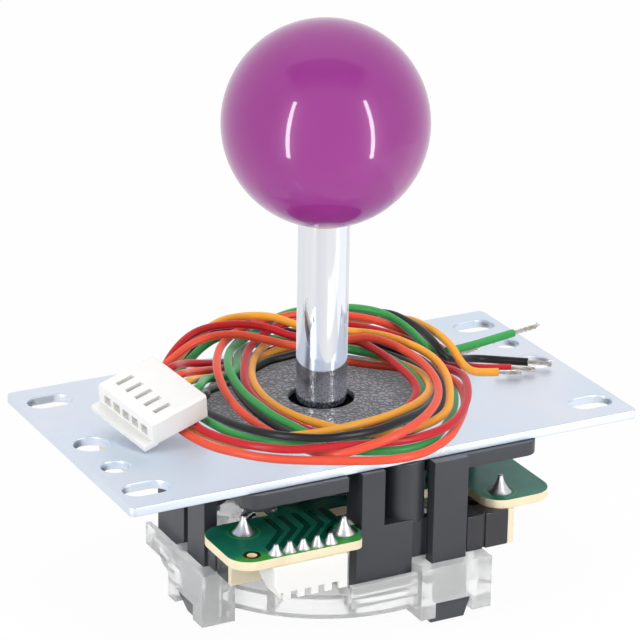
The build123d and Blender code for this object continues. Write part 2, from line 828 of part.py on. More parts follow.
# Coil: the outer shape of the five loose wires, low in front, higher at the back, clear of
# the plug that lies on it
coil_rise = degrees(atan2(coil_back_height - coil_front_height, 2 * coil_reach_y))
coil_top_plane = Plane(Location((coil_centre[0], coil_centre[1], coil_mid_height), (coil_rise, 0, 0)))
with BuildPart() as harness_coil:
    with BuildSketch(Plane.XY.offset(coil_gap)):
        with Locations(coil_centre):
            Ellipse(coil_reach_x, coil_reach_y)
        with Locations(coil_inner_centre):
            Ellipse(coil_inner_x, coil_inner_y, mode=Mode.SUBTRACT)
    extrude(amount=2 * coil_back_height)
    split(bisect_by=coil_top_plane, keep=Keep.BOTTOM)
    with BuildSketch(Plane.XY.offset(coil_gap)):
        Circle(washer_r + coil_gap)
    extrude(amount=washer_thickness, mode=Mode.SUBTRACT)
    with BuildSketch(plug_plane.offset(-coil_gap)):
        with Locations((-coil_gap, -coil_gap)):
            Rectangle(plug_end + 2 * coil_gap, plug_row + 2 * coil_gap, align=(Align.MIN, Align.MIN))
    extrude(amount=2 * coil_back_height, mode=Mode.SUBTRACT)
finish(harness_coil, "harness_coil")

# Tails: insulated wire from the coil to its stripped end, then the bare strands
for colour, route in tail_routes.items():
    radii = bend_radii(route)
    with BuildPart() as tail:
        with BuildLine() as tail_line:
            FilletPolyline(*route, radius=radii)
        with BuildSketch(Plane(tail_line.line @ 0, z_dir=tail_line.line % 0)):
            Circle(wire_r)
        sweep()
    finish(tail, f"tail_{colour}")
    swept_volume = pi * wire_r**2 * tail_line.wires()[0].length
    print("  bend radii", [round(radius, 1) for radius in radii])
    print("  volume over section times length", round(tail.part.volume / swept_volume, 4))

    with BuildPart() as strands:
        with BuildSketch(Plane(tail_line.line @ 1, z_dir=tail_line.line % 1)):
            Circle(strand_r)
        extrude(amount=strand_lengths[colour])
    finish(strands, f"strands_{colour}")
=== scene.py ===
# %% [markdown]
# # An arcade joystick lever
#
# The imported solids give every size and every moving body. This lesson dresses them: it loads
# them as a fixed frame, sets up the camera and a white studio, lays the five loose wires, and
# then goes from piece to piece, making the visible shapes and their finishes.

# %% Load the frame
import json
import math

import bmesh
import bpy
import numpy as np
from mathutils import Matrix, Vector


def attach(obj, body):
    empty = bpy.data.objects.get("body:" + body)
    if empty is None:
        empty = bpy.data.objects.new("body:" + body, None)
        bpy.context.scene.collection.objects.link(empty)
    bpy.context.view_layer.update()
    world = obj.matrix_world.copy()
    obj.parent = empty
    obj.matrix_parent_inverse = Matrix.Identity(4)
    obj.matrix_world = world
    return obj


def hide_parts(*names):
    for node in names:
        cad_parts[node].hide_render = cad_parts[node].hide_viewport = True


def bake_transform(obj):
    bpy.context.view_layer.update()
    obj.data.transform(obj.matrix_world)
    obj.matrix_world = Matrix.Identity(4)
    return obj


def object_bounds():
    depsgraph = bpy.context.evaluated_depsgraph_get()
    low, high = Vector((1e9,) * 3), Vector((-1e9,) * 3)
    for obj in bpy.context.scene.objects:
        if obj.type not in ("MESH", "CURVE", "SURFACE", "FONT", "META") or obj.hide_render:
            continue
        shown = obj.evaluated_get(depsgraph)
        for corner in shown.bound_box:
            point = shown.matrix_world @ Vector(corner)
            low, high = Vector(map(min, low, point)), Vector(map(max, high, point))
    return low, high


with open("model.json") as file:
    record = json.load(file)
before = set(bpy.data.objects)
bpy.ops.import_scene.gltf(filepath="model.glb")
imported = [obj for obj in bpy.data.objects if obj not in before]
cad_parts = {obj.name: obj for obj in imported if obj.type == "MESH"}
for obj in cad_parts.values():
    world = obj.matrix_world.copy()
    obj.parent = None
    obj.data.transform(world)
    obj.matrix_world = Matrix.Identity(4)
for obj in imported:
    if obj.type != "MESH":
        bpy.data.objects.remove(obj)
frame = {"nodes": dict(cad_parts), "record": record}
cad_low, cad_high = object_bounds()
MM = 0.001
COLOURS = ("red", "orange", "yellow", "green", "black")
SIDES = ("front", "right", "back", "left")

# %% [markdown]
# ## Camera
#
# The product shot was taken with a long lens from above the left front corner. The camera stands
# where the plate's corners, the ball and the shaft line up with it. Its tiny roll is built into
# the rotation matrix, which is easier to read than three Euler angles.

# %% Make the camera
CAMERA_PLACE = Vector((-219.34, -415.95, 195.86)) * MM
CAMERA_TARGET = Vector((4.699, 9.813, 10.789)) * MM
CAMERA_ROLL = math.radians(0.962)
FOCAL_PIXELS = 2960.395
FRAME_PIXELS = 640
SENSOR_MM, CLIP_NEAR = 36, 0.01

look = (CAMERA_TARGET - CAMERA_PLACE).normalized()
level_right = look.cross(Vector((0, 0, 1))).normalized()
level_up = level_right.cross(look)
right = math.cos(CAMERA_ROLL) * level_right + math.sin(CAMERA_ROLL) * level_up
up = math.cos(CAMERA_ROLL) * level_up - math.sin(CAMERA_ROLL) * level_right
camera_data = bpy.data.cameras.new("camera")
camera_data.sensor_width = SENSOR_MM
camera_data.lens = SENSOR_MM * FOCAL_PIXELS / FRAME_PIXELS
camera_data.clip_start = CLIP_NEAR
camera = bpy.data.objects.new("camera", camera_data)
bpy.context.scene.collection.objects.link(camera)
turn = Matrix((right, up, -look)).transposed().to_4x4()
camera.matrix_world = Matrix.Translation(CAMERA_PLACE) @ turn
bpy.context.scene.camera = camera
bpy.context.scene.view_settings.view_transform = "Standard"
print("camera lens", round(camera_data.lens, 1), "mm")

# %% [markdown]
# ## Helpers for objects and finishes
#
# A few short functions save repetition. Some link meshes into the scene, one turns written screen
# colours into the linear values that shaders use, and the rest start materials and join their nodes.

# %% Object and material helpers
WHITE = (1, 1, 1, 1)
SQUARE = ((-1, -1), (1, -1), (1, 1), (-1, 1))


def tone(red, green, blue):
    """A screen colour, 0 to 255, as the linear colour a shader takes."""
    parts = [part / 255 for part in (red, green, blue)]
    linear = [part / 12.92 if part <= 0.04045 else ((part + 0.055) / 1.055) ** 2.4 for part in parts]
    return (*linear, 1.0)


def link_mesh(name, mesh):
    """A new object at the origin that holds the mesh."""
    thing = bpy.data.objects.new(name, mesh)
    bpy.context.scene.collection.objects.link(thing)
    return thing


def flat_sheet(name, half_x, half_y, height=0.0):
    """A level rectangle, given by half of each side in metres."""
    mesh = bpy.data.meshes.new(name)
    mesh.from_pydata([(x * half_x, y * half_y, height) for x, y in SQUARE], [], [(0, 1, 2, 3)])
    return link_mesh(name, mesh)


def start_material(name, colour, roughness, metallic=0.0):
    """A material and its Principled shader."""
    material = bpy.data.materials.new(name)
    material.use_nodes = True
    shader = material.node_tree.nodes["Principled BSDF"]
    set_inputs(shader, {"Base Color": colour, "Roughness": roughness, "Metallic": metallic})
    material.diffuse_color = colour
    return material, shader


def add_node(tree, kind, links=None, **settings):
    """A node with its settings, and its inputs linked or set by name or number."""
    node = tree.nodes.new(kind)
    for key, value in settings.items():
        setattr(node, key, value)
    for key, value in (links or {}).items():
        if isinstance(value, bpy.types.NodeSocket):
            tree.links.new(value, node.inputs[key])
        else:
            node.inputs[key].default_value = value
    return node


def set_inputs(node, values):
    """Sets a node's inputs by name."""
    for key, value in values.items():
        node.inputs[key].default_value = value


# %% Node helpers
SOCKETS = {
    "geometry": "NodeSocketGeometry",
    "value": "NodeSocketFloat",
    "count": "NodeSocketInt",
    "colour": "NodeSocketColor",
    "vector": "NodeSocketVector",
    "object": "NodeSocketObject",
    "material": "NodeSocketMaterial",
}


def new_tree(kind, name, inputs, outputs):
    """A node tree with named sockets, the outputs of its start and the inputs of its end."""
    tree = bpy.data.node_groups.new(name, kind)
    for way, sockets in (("INPUT", inputs), ("OUTPUT", outputs)):
        for key, socket in sockets.items():
            tree.interface.new_socket(key, in_out=way, socket_type=SOCKETS[socket])
    return tree, tree.nodes.new("NodeGroupInput").outputs, tree.nodes.new("NodeGroupOutput").inputs


def object_place(tree):
    """The place on the object, which moves with it."""
    return add_node(tree, "ShaderNodeTexCoord").outputs["Object"]


def maths(tree, operation, *values):
    """The result of a maths node on values or sockets."""
    return add_node(tree, "ShaderNodeMath", dict(enumerate(values)), operation=operation).outputs[0]


def noise(tree, at, scale, detail, output="Fac"):
    """A noise texture's output."""
    values = {"Vector": at, "Scale": scale, "Detail": detail}
    return add_node(tree, "ShaderNodeTexNoise", values).outputs[output]


def span(tree, value, low, high, **settings):
    """A value mapped so that low gives nought and high gives one."""
    ends = {"Value": value, "From Min": low, "From Max": high}
    return add_node(tree, "ShaderNodeMapRange", ends, **settings).outputs[0]


def mixed(tree, share, first, second):
    """Two colours mixed by a share. Sockets 6 and 7 are the mix node's colours."""
    return add_node(tree, "ShaderNodeMix", {0: share, 6: first, 7: second}, data_type="RGBA").outputs[2]


def dented(tree, shader, height, strength, distance):
    """Lets a height shape the shader's surface."""
    values = {"Height": height, "Strength": strength, "Distance": distance}
    tree.links.new(add_node(tree, "ShaderNodeBump", values).outputs["Normal"], shader.inputs["Normal"])


# %% [markdown]
# ## Helpers for pieces
#
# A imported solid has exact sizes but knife-sharp edges, and no real moulding or stamping has those.
# The helper below copies such a solid, joins its loose triangles, makes its flat faces whole again
# and breaks the edges with a small bevel. Round pieces are turned on a lathe instead, and pieces
# that repeat grow from a geometry node tree. Each ends as a plain mesh that rides on its body.

# %% Piece helpers
part_bodies = {
    node: body for body, nodes in frame["record"]["behaviour"]["bodies"].items() for node in nodes
}
MERGE = 2e-6
FLAT = math.radians(0.5)
SHARP = math.radians(35)
AREA_WEIGHT = 100
TINY = 1e-6


def plain_mesh(piece):
    """Turns what the modifiers make into the piece's own mesh."""
    bpy.context.view_layer.update()
    graph = bpy.context.evaluated_depsgraph_get()
    mesh = bpy.data.meshes.new_from_object(piece.evaluated_get(graph))
    piece.modifiers.clear()
    piece.data = mesh


def stand_for(piece, *nodes):
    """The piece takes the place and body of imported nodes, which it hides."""
    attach(piece, part_bodies[nodes[0]])
    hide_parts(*nodes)
    print(piece.name, "has", len(piece.data.polygons), "faces")


def dressed(node, name, finish, width, segments=2, clamp=False):
    """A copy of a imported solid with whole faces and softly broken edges, width in mm."""
    mesh = frame["nodes"][node].data.copy()
    work = bmesh.new()
    work.from_mesh(mesh)
    bmesh.ops.remove_doubles(work, verts=work.verts, dist=MERGE)
    bmesh.ops.dissolve_limit(work, angle_limit=FLAT, verts=work.verts, edges=work.edges)
    for face in work.faces:
        face.smooth = True
        face.material_index = 0
    work.to_mesh(mesh)
    work.free()
    mesh.materials.clear()
    mesh.materials.append(finish)
    piece = link_mesh(name, mesh)
    edges = piece.modifiers.new("broken edges", "BEVEL")
    edges.limit_method = "ANGLE"
    edges.angle_limit = SHARP
    edges.width = width * MM
    edges.segments = segments
    edges.use_clamp_overlap = clamp
    edges.loop_slide = False
    even = piece.modifiers.new("even shading", "WEIGHTED_NORMAL")
    even.weight = AREA_WEIGHT
    plain_mesh(piece)
    stand_for(piece, node)
    return piece


# %% Lathe helpers


def ring_points(radius, steps):
    """Evenly spaced points round the upright axis."""
    angles = [2 * math.pi * step / steps for step in range(steps)]
    return [(radius * math.cos(angle), radius * math.sin(angle)) for angle in angles]


def lathe_mesh(name, profile, steps=96, ring=False):
    """A mesh turned about the upright axis from pairs of radius and height in mm."""
    work = bmesh.new()
    rings = []
    for radius, height in profile:
        if radius < TINY:
            rings.append([work.verts.new((0, 0, height * MM))] * steps)
            continue
        rings.append([work.verts.new((x, y, height * MM)) for x, y in ring_points(radius * MM, steps)])
    pairs = list(zip(rings, rings[1:]))
    if ring:
        pairs.append((rings[-1], rings[0]))
    for low, high in pairs:
        for step in range(steps):
            after = (step + 1) % steps
            corners = []
            for vertex in (low[step], low[after], high[after], high[step]):
                if vertex not in corners:
                    corners.append(vertex)
            if len(corners) > 2:
                work.faces.new(corners).smooth = True
    bmesh.ops.recalc_face_normals(work, faces=work.faces)
    mesh = bpy.data.meshes.new(name)
    work.to_mesh(mesh)
    work.free()
    mesh.set_sharp_from_angle(angle=SHARP)
    return mesh


def turned(name, profile, finish, **shape):
    """A piece from the lathe with its finish."""
    mesh = lathe_mesh(name, profile, **shape)
    mesh.materials.append(finish)
    return link_mesh(name, mesh)


# %% Growth helpers


def geometry_tree(name, inputs):
    """A geometry node tree with named inputs beside its geometry."""
    both = {"Geometry": "geometry"}
    return new_tree("GeometryNodeTree", name, {**both, **inputs}, both)


def end_tree(tree, start, geometry, end):
    """Ends a tree: real geometry, smooth faces and the material input."""
    real = add_node(tree, "GeometryNodeRealizeInstances", {0: geometry}).outputs[0]
    smooth = add_node(tree, "GeometryNodeSetShadeSmooth", {0: real}).outputs[0]
    values = {"Geometry": smooth, "Material": start["Material"]}
    tree.links.new(add_node(tree, "GeometryNodeSetMaterial", values).outputs[0], end[0])
    print(tree.name, "tree has", len(tree.nodes), "nodes")


def sweep(tree, start, curve, shape, end):
    """Ends a tree with a closed shape swept along a curve."""
    values = {"Curve": curve.outputs[0], "Profile Curve": shape.outputs[0], "Fill Caps": True}
    end_tree(tree, start, add_node(tree, "GeometryNodeCurveToMesh", values).outputs[0], end)


def grow(name, seed_mesh, tree, values):
    """A piece that a geometry node tree makes from a seed mesh and its named values."""
    piece = link_mesh(name, seed_mesh)
    growth = piece.modifiers.new("growth", "NODES")
    growth.node_group = tree
    for item in tree.interface.items_tree:
        if item.in_out == "INPUT" and item.name in values:
            growth[item.identifier] = values[item.name]
    plain_mesh(piece)
    return piece


def line_mesh(name, lines, closed=False):
    """A mesh of bare edges along lists of points in mm."""
    points, edges = [], []
    for line in lines:
        first = len(points)
        points += [Vector(place) * MM for place in line]
        edges += [(first + i, first + i + 1) for i in range(len(line) - 1)]
        if closed:
            edges.append((len(points) - 1, first))
    mesh = bpy.data.meshes.new(name)
    mesh.from_pydata(points, edges, [])
    return mesh


# %% [markdown]
# ## Shared effects
#
# Moulded plastic is never one flat colour: the pigment drifts a little, the gloss is cloudy, and
# the skin has a fine texture. All plastics here share one node group for that, each with its own
# values. Metals share a second group, which can stretch its noise along one axis into faint lines.

# %% Moulded skin group
NOISE_MEAN = 0.5
PIGMENT_SCALE, PIGMENT_DETAIL, SKIN_DETAIL = 90.0, 3.0, 2.0
GROUP_ENDS = {"Colour": "colour", "Roughness": "value", "Height": "value"}


def end_group(tree, end, *sockets):
    """Joins a group's colour, gloss and height to its end."""
    for key, socket in zip(GROUP_ENDS, sockets):
        tree.links.new(socket, end[key])


def grouped(name, group, values, metallic, bump, depth):
    """A material whose colour, gloss and skin come from a shared group with its own values."""
    material, shader = start_material(name, values["Colour"], values["Roughness"], metallic)
    tree = material.node_tree
    skin = add_node(tree, "ShaderNodeGroup", values, node_tree=group)
    tree.links.new(skin.outputs["Colour"], shader.inputs["Base Color"])
    tree.links.new(skin.outputs["Roughness"], shader.inputs["Roughness"])
    dented(tree, shader, skin.outputs["Height"], bump, depth)
    return material, shader


skin_inputs = {"Colour": "colour", **dict.fromkeys(("Drift", "Roughness", "Cloud", "Scale"), "value")}
skin_tree, skin_in, skin_out = new_tree("ShaderNodeTree", "moulded_skin", skin_inputs, GROUP_ENDS)
skin_at = object_place(skin_tree)
skin_slow = noise(skin_tree, skin_at, PIGMENT_SCALE, PIGMENT_DETAIL)
skin_fine = noise(skin_tree, skin_at, skin_in["Scale"], SKIN_DETAIL)
skin_swing = maths(skin_tree, "SUBTRACT", skin_slow, NOISE_MEAN)
skin_drift = maths(skin_tree, "MULTIPLY_ADD", skin_swing, skin_in["Drift"], 1.0)
skin_rough = maths(skin_tree, "MULTIPLY_ADD", skin_swing, skin_in["Cloud"], skin_in["Roughness"])
skin_tint = add_node(
    skin_tree, "ShaderNodeVectorMath", {0: skin_in["Colour"], "Scale": skin_drift}, operation="SCALE"
)
end_group(skin_tree, skin_out, skin_tint.outputs[0], skin_rough, skin_fine)


def plastic(name, colour, roughness, drift=0.12, cloud=0.15, scale=900.0, bump=0.15, depth=0.00002):
    """A moulded plastic with its own colour, gloss and skin."""
    values = {"Colour": colour, "Drift": drift, "Roughness": roughness, "Cloud": cloud, "Scale": scale}
    return grouped(name, skin_tree, values, 0.0, bump, depth)


print("moulded skin group has", len(skin_tree.nodes), "nodes")

# %% Rolled metal group
TONE_DETAIL, TONE_LOW, TONE_HIGH = 2.0, 0.35, 0.65
BRUSH_SCALE, BRUSH_DETAIL = 2600.0, 3.0
metal_inputs = {"Colour": "colour", "Tint": "colour", "Stretch": "vector"}
metal_inputs.update(dict.fromkeys(("Scale", "Roughness", "Cloud"), "value"))
metal_tree, metal_in, metal_out = new_tree("ShaderNodeTree", "rolled_metal", metal_inputs, GROUP_ENDS)
stretched = {0: object_place(metal_tree), 1: metal_in["Stretch"]}
metal_long = add_node(metal_tree, "ShaderNodeVectorMath", stretched, operation="MULTIPLY").outputs[0]
metal_slow = noise(metal_tree, metal_long, metal_in["Scale"], TONE_DETAIL)
metal_share = span(metal_tree, metal_slow, TONE_LOW, TONE_HIGH)
metal_tint = mixed(metal_tree, metal_share, metal_in["Colour"], metal_in["Tint"])
metal_fine = noise(metal_tree, metal_long, BRUSH_SCALE, BRUSH_DETAIL)
metal_swing = maths(metal_tree, "SUBTRACT", metal_fine, NOISE_MEAN)
metal_rough = maths(metal_tree, "MULTIPLY_ADD", metal_swing, metal_in["Cloud"], metal_in["Roughness"])
end_group(metal_tree, metal_out, metal_tint, metal_rough, metal_fine)


def metal(
    name, colour, tint, roughness, cloud=0.1, scale=60.0, stretch=(1, 1, 1), bump=0.1, depth=0.00001
):
    """A bare or plated metal that drifts between two tones, with fine lines from its making."""
    values = {"Colour": colour, "Tint": tint, "Scale": scale, "Stretch": stretch}
    values.update({"Roughness": roughness, "Cloud": cloud})
    return grouped(name, metal_tree, values, 1.0, bump, depth)


print("rolled metal group has", len(metal_tree.nodes), "nodes")

# %% [markdown]
# ## The loose wires
#
# Five thin wires leave the plug, run two and a half times clockwise round the shaft, and end in
# stripped tails. Nobody wound them neatly: the first turn dives under the plug, climbs over the
# second behind it, and the third lies on top at the back. So each wire has its own route, a list of
# places. A short relaxation pushes the strands apart, and keeps them on
# the plate and under the plug.

# %% Where the wires leave the plug
WIRE_R = 0.72
PLUG_PLACE = Vector((-36.46, -7.39, 0.25))
PLUG_YAW, PLUG_PITCH, PLUG_ROLL = 11.6, 12.2, 10.9
PLUG_ROW, PLUG_END, PLUG_HEIGHT, PLUG_PITCH_MM = 14.8, 13.2, 4.8, 2.5

plug_matrix = (
    Matrix.Translation(PLUG_PLACE)
    @ Matrix.Rotation(math.radians(PLUG_YAW), 4, "Z")
    @ Matrix.Rotation(math.radians(-PLUG_PITCH), 4, "Y")
    @ Matrix.Rotation(math.radians(PLUG_ROLL), 4, "X")
)
plug_cells = {}
for place, colour in enumerate(reversed(COLOURS)):
    row = PLUG_ROW / 2 + PLUG_PITCH_MM * (place - (len(COLOURS) - 1) / 2)
    plug_cells[colour] = plug_matrix @ Vector((PLUG_END, row, PLUG_HEIGHT / 2))
wire_heading = (plug_matrix.to_3x3() @ Vector((1, 0, 0))).normalized()
print("wire face", {colour: [round(v, 1) for v in cell] for colour, cell in plug_cells.items()})

# %% Lay the wires
# Places along each wire from the plug, in tenths of a millimetre, and then along its tail in mm
WIRE_ROUTES = {
    "red": (
        (-198, 126, 60), (-143, 147, 44), (-88, 181, 26), (-40, 197, 20), (12, 204, 23),
        (63, 193, 24), (111, 167, 24), (152, 128, 19), (188, 80, 16), (221, 27, 17),
        (242, -20, 22), (244, -66, 26), (221, -119, 27), (190, -168, 26), (146, -218, 25),
        (97, -250, 24), (35, -265, 23), (-16, -263, 23), (-68, -253, 23), (-110, -241, 23),
        (-168, -216, 21), (-201, -189, 22), (-229, -152, 21), (-254, -93, 20), (-260, -39, 19),
        (-249, 45, 13), (-233, 130, 12), (-216, 176, 22), (-179, 201, 42), (-135, 218, 59),
        (-96, 217, 66), (-44, 202, 67), (-4, 182, 61), (32, 157, 50), (72, 132, 50),
        (108, 107, 53), (126, 88, 54), (139, 43, 48), (144, 3, 43), (143, -52, 38),
        (137, -94, 32), (120, -125, 26), (81, -162, 21), (23, -192, 19), (-39, -200, 15),
        (-87, -182, 18), (-105, -147, 21), (-115, -115, 23), (-129, -50, 26), (-130, 6, 29),
        (-117, 62, 34), (-92, 115, 37), (-65, 157, 40), (-44, 176, 44), (-12, 189, 54),
        (24, 196, 62), (50, 193, 65), (96, 179, 66), (138, 160, 62), (178, 135, 57),
        (217, 104, 48), (246, 73, 34), (270, 41, 18),
    ),
    "orange": (
        (-205, 91, 56), (-155, 122, 40), (-97, 162, 24), (-48, 179, 21), (0, 180, 22),
        (48, 164, 20), (84, 138, 18), (108, 102, 18), (135, 75, 18), (169, 46, 18),
        (206, 10, 17), (226, -39, 15), (225, -89, 12), (200, -146, 10), (159, -199, 9),
        (109, -249, 8), (48, -281, 8), (3, -286, 9), (-34, -277, 9), (-75, -258, 9),
        (-129, -232, 9), (-166, -213, 9), (-201, -189, 9), (-231, -156, 9), (-261, -108, 8),
        (-277, -36, 8), (-273, 35, 10), (-261, 111, 12), (-240, 157, 22), (-196, 178, 36),
        (-158, 192, 51), (-118, 192, 61), (-75, 179, 62), (-27, 156, 52), (19, 131, 41),
        (62, 113, 42), (104, 96, 50), (133, 79, 54), (156, 50, 53), (168, 14, 52),
        (173, -36, 52), (164, -104, 50), (137, -164, 48), (94, -215, 48), (41, -253, 46),
        (-8, -268, 39), (-68, -262, 26), (-94, -247, 17), (-111, -222, 10), (-128, -182, 10),
        (-143, -151, 16), (-159, -130, 21), (-171, -97, 27), (-179, -42, 34), (-177, 9, 40),
        (-168, 55, 46), (-154, 98, 50), (-127, 149, 52), (-98, 185, 54), (-54, 209, 60),
        (-13, 219, 65), (27, 219, 67), (61, 216, 70), (108, 202, 70), (150, 182, 68),
        (188, 155, 64), (224, 116, 52), (249, 71, 42), (271, 45, 32),
    ),
    "yellow": (
        (-197, 88, 46), (-148, 121, 30), (-98, 143, 21), (-42, 168, 19), (-15, 179, 20),
        (14, 177, 24), (68, 154, 29), (118, 118, 27), (148, 78, 22), (166, 41, 21),
        (178, -12, 23), (175, -65, 26), (152, -118, 28), (104, -162, 32), (53, -186, 34),
        (7, -201, 35), (-48, -208, 35), (-99, -204, 35), (-138, -192, 33), (-165, -172, 28),
        (-185, -151, 14), (-204, -138, 9), (-221, -123, 8), (-246, -77, 8), (-257, -33, 9),
        (-261, 20, 9), (-243, 105, 12), (-226, 154, 20), (-190, 191, 35), (-157, 219, 48),
        (-117, 237, 62), (-75, 241, 74), (-30, 230, 75), (11, 211, 71), (47, 186, 60),
        (86, 159, 59), (121, 128, 60), (160, 83, 64), (194, 21, 59), (204, -39, 52),
        (193, -94, 43), (169, -145, 35), (137, -191, 28), (97, -213, 23), (60, -221, 21),
        (10, -223, 19), (-36, -210, 19), (-71, -181, 19), (-89, -149, 21), (-103, -113, 21),
        (-116, -64, 24), (-117, -8, 27), (-105, 57, 30), (-85, 104, 32), (-54, 152, 32),
        (-21, 186, 34), (16, 213, 36), (57, 228, 38), (108, 234, 44), (159, 220, 45),
        (210, 191, 51), (237, 163, 58), (248, 127, 65), (258, 57, 64), (258, 0, 56),
        (260, -28, 38),
    ),
    "green": (
        (-193, 71, 48), (-166, 83, 42), (-138, 94, 32), (-114, 117, 28), (-94, 160, 26),
        (-68, 198, 27), (-31, 223, 27), (12, 229, 25), (53, 221, 23), (105, 195, 23),
        (152, 158, 22), (191, 108, 18), (224, 48, 16), (237, -5, 13), (227, -63, 11),
        (195, -126, 9), (143, -192, 9), (87, -246, 9), (67, -260, 9), (15, -264, 8),
        (-31, -254, 9), (-70, -237, 10), (-109, -217, 16), (-141, -206, 20), (-166, -191, 21),
        (-195, -153, 19), (-217, -95, 13), (-230, -22, 12), (-231, 44, 9), (-224, 116, 12),
        (-203, 171, 22), (-161, 194, 37), (-126, 209, 50), (-87, 213, 60), (-48, 203, 57),
        (-10, 189, 51), (14, 177, 45), (35, 162, 40), (73, 134, 41), (118, 95, 47),
        (154, 46, 47), (166, 4, 43), (166, -50, 38), (152, -94, 31), (131, -125, 26),
        (98, -144, 23), (61, -161, 21), (3, -194, 18), (-60, -204, 14), (-100, -192, 15),
        (-120, -169, 19), (-129, -142, 22), (-143, -97, 26), (-148, -51, 30), (-150, 5, 33),
        (-144, 64, 39), (-130, 112, 43), (-106, 160, 44), (-82, 192, 46), (-34, 225, 51),
        (23, 251, 58), (53, 255, 62), (78, 249, 67), (122, 229, 73), (161, 204, 75),
        (189, 178, 75), (209, 148, 71), (223, 94, 62), (227, 34, 52), (249, 19, 45),
    ),
    "black": (
        (-208, 28, 44), (-171, 60, 36), (-117, 111, 22), (-82, 136, 18), (-50, 151, 18),
        (-23, 162, 20), (36, 164, 21), (88, 161, 25), (131, 146, 25), (151, 126, 22),
        (169, 88, 21), (183, 34, 21), (187, -32, 21), (175, -89, 22), (141, -146, 23),
        (99, -182, 26), (42, -215, 30), (-12, -236, 30), (-67, -240, 31), (-115, -234, 31),
        (-162, -204, 31), (-196, -156, 28), (-209, -97, 22), (-216, -6, 14), (-216, 51, 10),
        (-206, 121, 11), (-193, 175, 19), (-166, 213, 38), (-122, 234, 53), (-67, 241, 62),
        (-19, 231, 62), (13, 215, 58), (47, 187, 50), (84, 156, 48), (119, 124, 49),
        (146, 97, 52), (166, 67, 50), (184, 24, 49), (194, -19, 46), (189, -78, 37),
        (166, -128, 30), (128, -176, 23), (93, -199, 20), (46, -213, 20), (-14, -225, 17),
        (-69, -214, 12), (-109, -189, 10), (-133, -153, 18), (-141, -90, 19), (-143, -36, 19),
        (-139, 25, 19), (-128, 88, 20), (-109, 141, 24), (-81, 190, 28), (-50, 218, 36),
        (-1, 244, 44), (43, 251, 48), (89, 245, 52), (141, 225, 55), (189, 198, 61),
        (221, 169, 66), (233, 134, 65), (240, 84, 62), (238, 22, 54), (247, -2, 36),
    ),
}
TAIL_ROUTES = {
    "green": ((32.9, 2.6, 4.4), (40.7, 4.15, 4.4)),
    "orange": ((27.1, 2.75, 2.6), (29.2, 3.35, 2.6)),
    "black": ((32.8, 3.3, 1.1), (40.3, -1.94, 1.1)),
    "red": ((30.8, -0.3, 1.1), (36.1, -3.1, 1.1)),
    "yellow": ((29.2, -1.85, 1.1), (33.2, -3.8, 1.1)),
}
LEAD, POINT_GAP, STEPS_BETWEEN, TENTHS = 2.0, 2.4, 12, 10


def lay_wire(colour):
    """One wire's first course: lead, route and tail as evenly spaced points on a smooth line."""
    cell = plug_cells[colour]
    route = np.array(WIRE_ROUTES[colour]) / TENTHS
    places = np.vstack([cell, cell + wire_heading * LEAD, route, TAIL_ROUTES[colour]])
    padded = np.vstack([2 * places[0] - places[1], places, 2 * places[-1] - places[-2]])
    share = np.linspace(0, 1, STEPS_BETWEEN, endpoint=False)[:, None]
    line = []
    for before, here, after, beyond in zip(padded, padded[1:], padded[2:], padded[3:]):
        first, second = (after - before) / 2, (beyond - here) / 2
        cubic = 2 * here - 2 * after + first + second
        square = 3 * after - 3 * here - 2 * first - second
        line.append(here + first * share + square * share**2 + cubic * share**3)
    line = np.vstack([*line, places[-1:]])
    along = np.concatenate([[0], np.cumsum(np.linalg.norm(np.diff(line, axis=0), axis=1))])
    even = np.linspace(0, along[-1], round(along[-1] / POINT_GAP))
    return np.stack([np.interp(even, along, line[:, axis]) for axis in range(3)], axis=1)


wire_courses = {colour: lay_wire(colour) for colour in COLOURS}
print("points in each wire", {colour: len(course) for colour, course in wire_courses.items()})

# %% Push the strands apart
WASHER_R, WASHER_TOP = 20.0, 1.0
CLEAR, FLOOR_CLEAR, PLUG_CLEAR, RIM_SLOPE = 2 * WIRE_R + 0.04, 0.05, 0.1, 1.2
ROUNDS, PUSH, MOST_PUSH, SMOOTHING = 160, 0.32, 0.4, 0.18
HELD_START, HELD_END, NEAR_ALONG = 2, 3, 4
LEAST_GAP, FAR_OFF, SHORTEST = 0.05, 99.0, 1e-9
plug_inverse = np.array(plug_matrix.inverted())
plug_up = np.array(plug_matrix.to_3x3())[:, 2]


def floor_height(points):
    """The lowest centre height over the plate, or over the washer near the shaft."""
    out = np.hypot(points[:, 0], points[:, 1])
    rim = np.clip((WASHER_R + RIM_SLOPE - out) / RIM_SLOPE, 0, 1)
    return WIRE_R + FLOOR_CLEAR + WASHER_TOP * rim


def nearest_on(points, starts, ends):
    """The vectors from each segment's nearest point to each point."""
    along = ends - starts
    length = np.maximum((along * along).sum(1), SHORTEST)
    share = np.clip(((points[:, None] - starts[None]) * along[None]).sum(2) / length[None], 0, 1)
    return points[:, None] - (starts[None] + share[..., None] * along[None])


def push_off(course, other, own):
    """How another strand, or the strand's own other turns, pushes each point of a course."""
    gap = nearest_on(course, other[:-1], other[1:])
    far = np.sqrt((gap * gap).sum(2))
    if own:
        index = np.arange(len(course))
        far[np.abs(index[:, None] - index[None, :-1]) <= NEAR_ALONG] = FAR_OFF
    close = far < CLEAR
    far = np.maximum(far, LEAST_GAP)
    return (gap / far[..., None] * ((CLEAR - far) * close)[..., None]).sum(1) * PUSH


